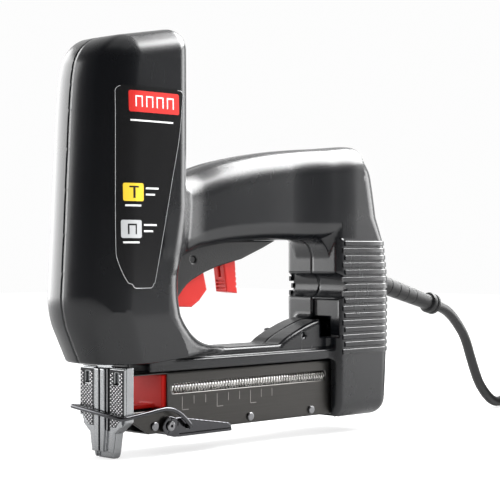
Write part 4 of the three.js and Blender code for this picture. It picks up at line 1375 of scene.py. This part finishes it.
# ---------- trigger ----------
@dataclass
class TriggerGroup:
    """The black insert under the grip, the trigger, its lock, and what they work on."""

    finishes: Finishes
    trigger_pivot: Corner = (90.0, 125.0)
    lock_pivot: Corner = (57.5, 108.0)
    half: float = 5.7
    trigger_half: float = 4.8

    def insert(self) -> bpy.types.Object:
        """Makes the pebbled insert with its two slots."""
        ring = [(41.8, 84), (45, 84), (47.2, 87.6), (50, 90.8), (53, 93.6), (57, 96.2), (67, 100.6),
                (77, 103.8),
                (97, 108.2), (115, 114.8), (125.6, 119.2), (40.4, 119.2), (40.4, 104)]
        body = plate(Axis.Y, ring, -9.5, 9.5, 1.4)
        slots = [block((80, -5.2, 88), (104, 5.2, 126), 0.4), block((40, -6.1, 70), (74, 6.1, 126), 0.4)]
        shape = less(body, *slots, rod(Axis.Y, self.lock_pivot, 2.1, -12, 12), ease=0.5)
        return skin_piece("trigger_insert", shape, (40, -9.5, 84), (126, 9.5, 119.4), 0.85,
                          self.finishes["pebbled_black"])

    def trigger(self) -> bpy.types.Object:
        """Makes the trigger, with its upright recess and the ridges for the fingertip."""
        ring = [(86.6, 104), (88.8, 89), (97.3, 88), (95.5, 108), (100, 122), (98, 131), (86, 131), (85, 114)]
        body = plate(Axis.Y, ring, -self.trigger_half, self.trigger_half, 0.7)
        recess = block((76, -1.0, 97.5), (89.2, 1.0, 109), 0.3)
        ridges = [rod(Axis.Y, (88.2 + 0.3 * k, 95.4 - 2.1 * k), 0.6, -3.6, 3.6) for k in range(3)]
        ridges += [rod(Axis.Y, (96.1 + 0.12 * k, 104 - 3.0 * k), 0.6, -20, 20) for k in range(5)]
        shape = less(body, recess, *ridges, rod(Axis.Y, self.trigger_pivot, 2.1, -8, 8), ease=0.3)
        return skin_piece("trigger_key", shape, (84.8, -4.8, 87.5), (100.2, 4.8, 131), 0.4,
                          self.finishes["signal_red"])

    def lock(self) -> bpy.types.Object:
        """Makes the faceted lock key."""
        ring = [(46.8, 86), (50.2, 81.2), (60, 80.8), (66, 84.4), (71.9, 90.6), (69.4, 100), (63, 111),
                (53.5, 113.4), (50, 104)]
        body = plate(Axis.Y, ring, -self.half, self.half, 0.7)
        shape = less(body, rod(Axis.Y, self.lock_pivot, 2.1, -8, 8))
        return skin_piece("lock_key", shape, (46.5, -5.7, 80.5), (72, 5.7, 113.5), 0.45,
                          self.finishes["signal_red"])

    def spring(self) -> bpy.types.Object:
        """Makes the trigger's small spring."""
        x, z = self.trigger_pivot
        return coil_of_wire("trigger_return_spring", (x, 6.6, z), (0, 1, 0), 2.9, 2.0, 3.2, 0.32,
                            self.finishes["spring_wire"])

    def build(self) -> None:
        """Makes the group's pieces and finishes what stays of it."""
        dress(self.insert(), "frame", "black_plastic", "trigger_shroud")
        dress(self.trigger(), "trigger", "red_plastic", "trigger")
        dress(self.lock(), "trigger_lock", "red_plastic", "trigger_lock")
        dress(self.spring(), "frame", "bright_steel", "trigger_spring")
        for node, name in (("trigger_pin", "plated_screw"), ("trigger_lock_pin", "plain_black"),
                           ("trigger_switch", "plain_black"), ("circuit_board", "board_lacquer"),
                           ("power_module", "plain_black")):
            finish_node(node, self.finishes[name])


# ---------- drive ----------
@dataclass
class Drive:
    """The solenoid, its plunger and spring, and the blade that drives the staple."""

    finishes: Finishes
    centre_x: float = 2.6
    spring_low: float = 166.7
    spring_high: float = 199.4
    stroke: float = 24.0

    def spring(self) -> bpy.types.Object:
        """Makes the spring that lifts the plunger."""
        wire = 0.75
        start = (self.centre_x, 0, self.spring_low + wire)
        return coil_of_wire("plunger_return_spring", start, (0, 0, 1), 13.0,
                            self.spring_high - self.spring_low - 2 * wire, 7.0, wire,
                            self.finishes["spring_wire"], 24)

    def build(self) -> None:
        """Makes the spring and finishes what stays of the drive."""
        spring = dress(self.spring(), "frame", "bright_steel", "plunger_spring")
        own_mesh(spring)
        for node, name in (("solenoid_frame", "satin_gunmetal"), ("coil_bobbin", "plain_black"),
                           ("coil_winding", "enamelled_copper"), ("plunger", "polished_steel"),
                           ("plunger_bumper", "soft_rubber"), ("driver_blade", "polished_steel"),
                           ("driver_pin", "plated_screw")):
            finish_node(node, self.finishes[name])


# ---------- nose ----------
NOSE_OUTLINE = ((-12.2, 15.2), (-10.4, 14), (-8.4, 3.2), (-7.6, 1.0), (-6.2, 0), (6.2, 0), (7.6, 1.0),
                (8.4, 3.2), (10.4, 14), (12.2, 15.2))


@dataclass
class Nose:
    """The steel nose: its body, the knurled plate that swings open, the wire bail and the lever."""

    finishes: Finishes
    half: float = 19.0
    top: float = 50.0
    flange: float = 20.5
    front: float = -1.4
    rib_rise: float = 2.1
    groove: tuple[float, float] = (4.4, 6.6)
    slot_y: float = 12.5
    knurl_pitch: tuple[float, float] = (1.3, 1.05)
    pivot: Corner = (33.0, 16.2)
    bail: Corner = (46.0, 15.2)
    wire: float = 1.25
    wire_half: float = 20.6

    def outline(self, top: float) -> list[Corner]:
        """Returns the nose's outline across the tool, up to a height."""
        return [(-self.half, top), (-self.half, self.flange), *NOSE_OUTLINE, (self.half, self.flange),
                (self.half, top)]

    def body(self) -> bpy.types.Object:
        """Makes the body behind the plate, with the blade's channel."""
        block_of = plate(Axis.X, self.outline(self.top), 0.1, 5.2, 0.5)
        channel = [block((-1, -6.6, -5), (1.9, 6.6, 60)), block((1, -6.6, 12.6), (8, 6.6, 32))]
        shape = less(block_of, *channel, ease=0.2)
        return skin_piece("nose_block", shape, (0, -19, 0), (5.2, 19, 50), 0.45,
                          self.finishes["polished_steel"])

    def plate(self) -> bpy.types.Object:
        """Makes the front plate with its polished middle rib, its grooves (their black is painted shade from
        dark floors behind them) and its slots.
        """
        face = plate(Axis.X, self.outline(self.top - 0.6), self.front, -0.2, 0.25)
        rib = plate(Axis.X, [(-4.1, 49.2), (-4.1, 16), (-2.9, 4), (2.9, 4), (4.1, 16), (4.1, 49.2)],
                    self.front - self.rib_rise, self.front + 0.3, 0.45)
        g0, g1 = self.groove
        cuts = [block((-4, y0, 15.5), (-0.7, y1, 60), 0.1) for y0, y1 in ((-g1, -g0), (g0, g1))]
        cuts += [block((-5, s * self.slot_y - 2, 40.4), (5, s * self.slot_y + 2, 47), 1.0) for s in (-1, 1)]
        cuts += [block((-5, s * 17.6 - 1.6, 17.5), (5, s * 17.6 + 1.6, 22.4), 0.6) for s in (-1, 1)]
        cuts.append(block((-5, -40, -5), (5, 40, 3.6)))
        cuts.append(block((-5, -0.9, -5), (self.front - 0.1, 0.9, 60), 0.1))
        shape = less(either(face, rib, ease=0.2), *cuts, ease=0.15)
        return skin_piece("nose_face", shape, (-3.6, -19, 3.4), (-0.2, 19, 49.6), 0.4,
                          self.finishes["polished_steel"])

    def grooves(self) -> bpy.types.Object:
        """Makes dark floors that paint shade into the two grooves beside the rib, the slit down the rib and
        the gaps between the knurled studs.
        """
        g0, g1 = self.groove
        floors = [block((-0.95, y0, 15.6), (-0.5, y1, 49.2), 0.05) for y0, y1 in ((-g1, -g0), (g0, g1))]
        floors.append(block((self.front - 0.35, -0.86, 4.4), (self.front + 0.2, 0.86, 49.0), 0.05))
        knurled = [(7.2, 48.6), (7.2, 17.5), (11.6, 17.5), (15.6, 22.9), (18.4, 23.6), (18.4, 48.6)]
        for s in (-1, 1):
            ring = [(s * y, z) for y, z in knurled][::s]
            area = plate(Axis.X, ring, self.front - 0.12, self.front + 0.2, 0.05)
            slot = block((-5, s * self.slot_y - 2.3, 40.1), (5, s * self.slot_y + 2.3, 47.3), 0.6)
            floors.append(less(area, slot))
        return skin_piece("nose_groove_floors", either(*floors), (-1.8, -18.6, 4.3), (-0.5, 18.6, 49.3), 0.3,
                          self.finishes["blued_groove"])

    def knurl(self) -> bpy.types.Object:
        """Makes the small blunt studs of the knurled face."""
        (across, up), places = self.knurl_pitch, []
        rows = int((48.4 - 18.0) / up)
        for i in range(rows):
            z = 18.4 + i * up
            for k in range(5):
                y = 8.1 + (i % 2) * across + k * 2 * across
                slotted = abs(y - self.slot_y) < 2.9 and 39.5 < z < 47.9
                notched = y > 15.1 and z < 23.4
                if y < self.half - 1.0 and not slotted and not notched and z > 17.6 + max(0.0, y - 12) * 1.3:
                    places += [(self.front, y, z), (self.front, -y, z)]
        tree = Tree("nose knurl")
        wide = tree.size("Stud radius", 0.82 * MM)
        top = tree.size("Stud top radius", 0.5 * MM)
        high = tree.size("Stud height", 0.7 * MM)
        cone = tree.node("GeometryNodeMeshCone", Vertices=4, Radius_Top=top, Radius_Bottom=wide, Depth=high)
        sunk = tree.node("GeometryNodeTransform", Geometry=cone.outputs["Mesh"],
                         Translation=(0.0, 0.0, -0.02 * MM))
        spread = tree.node("GeometryNodeInstanceOnPoints", Points=tree.start.outputs[0],
                           Instance=sunk.outputs[0], Rotation=(0.0, -math.pi / 2, 0.0))
        return tree.bake("nose_knurl", point_cloud("nose_knurl", np.array(places)), spread.outputs[0],
                         self.finishes["knurled_steel"], 10.0)

    def wire_bail(self) -> bpy.types.Object:
        """Makes the wire that hooks over the nose, bent from one length."""
        x, z = self.bail
        corners = []
        for s, front, high in ((-1, -4.4, 22.8), (1, -6.8, 27.6)):
            bends = [(x, z), (41.5, 19.8), (36.5, 23.6), (31.5, 25.7), (27, 26.4), (20.5, 25.8), (15, 25),
                     (front, high)]
            side = [(x, s * 15.9, z), *((bx, s * self.wire_half, bz) for bx, bz in bends)]
            corners += side if s < 0 else side[::-1]
        ring = [Vector(c) for c in corners]
        path = [ring[0]]
        for before, here, after in zip(ring, ring[1:], ring[2:]):
            reach = min(2.6, (before - here).length / 2, (after - here).length / 2)
            a, b = here + (before - here).normalized() * reach, here + (after - here).normalized() * reach
            for k in range(5):
                t = k / 4
                path.append(a * (1 - t) ** 2 + here * 2 * t * (1 - t) + b * t * t)
        path.append(ring[-1])
        tree = Tree("bail wire")
        thick = tree.size("Wire radius", self.wire * MM)
        around = tree.node("GeometryNodeCurvePrimitiveCircle", Resolution=14, Radius=thick)
        swept = tree.node("GeometryNodeCurveToMesh", Curve=tree.start.outputs[0],
                          Profile_Curve=around.outputs[0], Fill_Caps=True)
        return tree.bake("bail_wire", path_curve("bail_wire", [np.array([tuple(p) for p in path])]),
                         swept.outputs[0], self.finishes["dark_steel"], 50.0)

    def lever(self) -> bpy.types.Object:
        """Makes the pressed lever: two ears, each with a rolled eye, and the plate between them."""
        ring = [(31.5, 11), (34, 20.5), (41, 20.3), (47.5, 19.2), (78, 14.4), (80, 12.6), (80, 9.8),
                (36, 9.8)]
        parts = []
        for s in (-1, 1):
            y0, y1 = sorted((s * 16.0, s * 17.5))
            parts.append(both(plate(Axis.Y, ring, y0, y1, 0.35), ease=0.0))
            parts.append(rod(Axis.Y, self.pivot, 5.2, y0, y1, 0.4))
        parts.append(block((39, -17.2, 9.8), (80, 17.2, 11.2), 0.5))
        window = [block((52, -9, 8), (70, 9, 13), 3.0)]
        holes = [rod(Axis.Y, self.pivot, 1.9, -30, 30), rod(Axis.Y, self.bail, 1.5, -30, 30)]
        shape = less(either(*parts, ease=0.8), *window, *holes, ease=0.25)
        return skin_piece("lever_pressing", shape, (27.5, -17.6, 9.6), (80.2, 17.6, 21.6), 0.55,
                          self.finishes["dark_steel"])

    def pin(self) -> bpy.types.Object:
        """Makes the lever's hollow pin with its turned-over ends."""
        x, z = self.pivot
        rings = [(0.9, 0.0), (2.2, 0.0), (2.8, 0.4), (2.8, 0.8), (1.5, 0.95), (1.5, 36.65), (2.8, 36.8),
                 (2.8, 37.2), (2.2, 37.6), (0.9, 37.6), (0.8, 37.0), (0.8, 34.0)]
        rings = [(0.8, 3.0), (0.8, 0.6), *rings]
        return turned_piece("lever_pin", rings, (x, -18.8, z), (0, 1, 0), self.finishes["plated_screw"], 28)

    def build(self) -> None:
        """Makes the nose's pieces."""
        dress(self.body(), "frame", "bright_steel", "nose_body")
        dress(self.plate(), "nose_door", "bright_steel", "nose_plate")
        # Dark floors that paint shade into the nose's grooves, slit and knurl gaps.
        dress(self.grooves(), "nose_door", "bright_steel")
        dress(self.knurl(), "nose_door", "bright_steel")
        dress(self.wire_bail(), "bail", "bright_steel", "wire_bail")
        dress(self.lever(), "latch", "bright_steel", "latch_lever")
        dress(self.pin(), "frame", "satin_steel", "latch_pin")


# ---------- magazine ----------
@dataclass
class Magazine:
    """The steel magazine, the rail the staples ride on, and the sprung follower."""

    finishes: Finishes
    half: float = 15.0
    low: float = 12.3
    high: float = 46.0
    start: float = 5.8
    end: float = 177.0
    sheet: float = 1.2
    window_end: float = 33.0
    window_low: float = 25.2
    slot: tuple[float, float] = (36.0, 163.0)
    slot_z: float = 36.3
    slot_high: float = 5.6
    rivets: tuple[Corner, ...] = ((23.4, 16.4), (97.6, 16.2), (150.0, 16.2))
    pivot: Corner = (33.0, 16.2)
    travel: float = 95.0
    spring_y: float = -10.6

    def case(self) -> bpy.types.Object:
        """Makes the folded case with its window, its long slot and its holes."""
        t = self.sheet
        body = block((self.start, -self.half, self.low), (self.end, self.half, self.high), 1.4)
        hollow = block((-5, -self.half + t, self.low + t),
                       (self.end - 1.5, self.half - t, self.high - t), 0.4)
        window = block((-5, -30, self.window_low), (self.window_end, 30, self.high - t), 0.3)
        z0, z1 = self.slot_z - self.slot_high / 2, self.slot_z + self.slot_high / 2
        slot = block((self.slot[0], -30, z0), (self.slot[1], 30, z1), 2.6)
        chin = plate(Axis.Y, [(-2, 25.2), (-2, 5), (20, 5), (19.6, self.low)], -30, 30)
        holes = [rod(Axis.Y, self.pivot, 1.8, -30, 30)]
        holes += [rod(Axis.Y, at, 1.6, -30, 30) for at in self.rivets]
        shape = less(body, hollow, window, slot, chin, *holes, ease=0.0)
        return skin_piece("magazine_case", shape, (self.start, -self.half, self.low),
                          (self.end, self.half, self.high), 0.95, self.finishes["satin_gunmetal"])

    def scale_marks(self) -> bpy.types.Object:
        """Makes the etched gauge lines under the slot, on both sides."""
        size, places = (0.45, 0.1), []
        for k in range(9):
            x = 44.0 + 9.0 * k
            tall = 7.5 if k % 3 == 0 else 4.6
            for s in (-1, 1):
                places += [(x, s * (self.half + 0.02), 31.6 - tall / 2, tall, size[0])]
                if k % 3 == 0:
                    places += [(x + 2.4, s * (self.half + 0.02), 31.6 - tall, size[0], 4.8)]
        points = np.array([p[:3] for p in places])
        source = point_cloud("gauge_marks", points)
        for name, column in (("tall", 3), ("wide", 4)):
            layer = source.attributes.new(name, "FLOAT", "POINT")
            layer.data.foreach_set("value", [p[column] * MM for p in places])
        tree = Tree("gauge marks")
        depth = tree.size("Mark depth", size[1] * MM)
        cube = tree.node("GeometryNodeMeshCube", Size=(1.0, 1.0, 1.0))
        tall = tree.node("GeometryNodeInputNamedAttribute", Name="tall")
        wide = tree.node("GeometryNodeInputNamedAttribute", Name="wide")
        scale = tree.node("ShaderNodeCombineXYZ", X=wide.outputs[0], Y=depth, Z=tall.outputs[0])
        spread = tree.node("GeometryNodeInstanceOnPoints", Points=tree.start.outputs[0],
                           Instance=cube.outputs["Mesh"], Scale=scale.outputs[0])
        return tree.bake("gauge_marks", source, spread.outputs[0], self.finishes["etched_mark"])

    def rivet_heads(self) -> bpy.types.Object:
        """Makes the three rivets."""
        shank = rod(Axis.Y, (0, 0), 1.3, -15.6, 15.6)
        heads = [rod(Axis.Y, (0, 0), 2.4, *sorted((s * 15.05, s * 16.2)), 0.6) for s in (-1, 1)]
        one = skin_piece("rivet", either(shank, *heads), (-2.4, -16.2, -2.4), (2.4, 16.2, 2.4), 0.4,
                         self.finishes["plated_screw"])
        places = [(x, 0.0, z) for x, z in self.rivets]
        return repeated("magazine_rivets", one, places, self.finishes["plated_screw"])

    def follower(self) -> bpy.types.Object:
        """Makes the red follower: a plate across the magazine and its tongue."""
        face = block((31, -12.9, 25.5), (35.4, 12.9, 44.4), 0.9)
        tongue = block((9.5, -5.2, 25.5), (32, 5.2, 27.4), 0.6)
        shape = either(face, tongue, ease=1.5)
        return skin_piece("follower", shape, (9.4, -12.9, 25.4), (35.5, 12.9, 44.5), 0.5,
                          self.finishes["follower_red"])

    def spring(self) -> bpy.types.Object:
        """Makes the long spring that pushes the follower."""
        start = (36.6, self.spring_y, self.slot_z)
        return coil_of_wire("follower_spring", start, (1, 0, 0), 3.2, 136.8, 62.0,
                            0.5,
                            self.finishes["spring_wire"], 12)

    def build(self) -> None:
        """Makes the magazine's pieces and finishes what stays of it."""
        dress(self.case(), "frame", "satin_steel", "magazine_body")
        dress(self.scale_marks(), "frame", "satin_steel")
        dress(self.rivet_heads(), "frame", "satin_steel",
              *(f"magazine_rivet_{k}" for k in (1, 2, 3)))
        dress(self.follower(), "pusher", "red_plastic", "pusher")
        spring = dress(self.spring(), "frame", "bright_steel", "pusher_spring")
        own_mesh(spring)
        finish_node("staple_rail", self.finishes["polished_steel"])


def repeated(name: str, one: bpy.types.Object, places: Sequence[Point],
             material: bpy.types.Material) -> bpy.types.Object:
    """Repeats a piece at several places as one mesh, and removes the first.

    Args:
        name: The new piece's name.
        one: The piece to repeat, modelled around the drawing's zero.
        places: Where it goes.
        material: Its finish.

    Returns:
        The new object.
    """
    zero = to_frame([(0, 0, 0)])[0]
    one.data.transform(Matrix.Translation(-Vector(zero)))
    tree = Tree(name + " places")
    source = tree.node("GeometryNodeObjectInfo", Object=one)
    spread = tree.node("GeometryNodeInstanceOnPoints", Points=tree.start.outputs[0],
                       Instance=source.outputs["Geometry"])
    piece = tree.bake(name, point_cloud(name, np.array(places)), spread.outputs[0], material)
    bpy.data.objects.remove(one)
    return piece


@dataclass
class Screws:
    """The seven screws that hold the housing halves together, with their heads on the right."""

    finishes: Finishes
    places: tuple[Corner, ...]
    head: float = 3.2

    def build(self) -> None:
        """Makes one screw and repeats it."""
        head = rod(Axis.Y, (0, 0), self.head, 16, 18.4, 0.6)
        shank = rod(Axis.Y, (0, 0), 1.4, -12.6, 17.0, 0.4)
        cross = [block((-2, 17.1, -0.45), (2, 20, 0.45)), block((-0.45, 17.1, -2), (0.45, 20, 2))]
        one = skin_piece("screw", less(either(head, shank), *cross, ease=0.15), (-3.2, -12.6, -3.2),
                         (3.2, 18.4, 3.2), 0.36, self.finishes["plated_screw"])
        every = repeated("housing_screws", one, [(x, 0.0, z) for x, z in self.places],
                         self.finishes["plated_screw"])
        dress(every, "frame", "satin_steel", *(f"housing_screw_{k}" for k in range(1, len(self.places) + 1)))


def main() -> None:
    """Builds the tool, sub-assembly by sub-assembly."""
    logging.basicConfig(level=logging.INFO, format="%(message)s")
    finishes = Finishes()
    studio = Studio()
    studio.camera()
    housing = Housing(finishes)
    parts = (Lead(finishes), housing, SideFilm(finishes, housing), TriggerGroup(finishes), Drive(finishes),
             Nose(finishes), Magazine(finishes), Screws(finishes, housing.screws))
    for part in parts:
        part.build()
        log.info("built %s", type(part).__name__)
    studio.floor()
    studio.light()


if __name__ == "__main__":
    main()
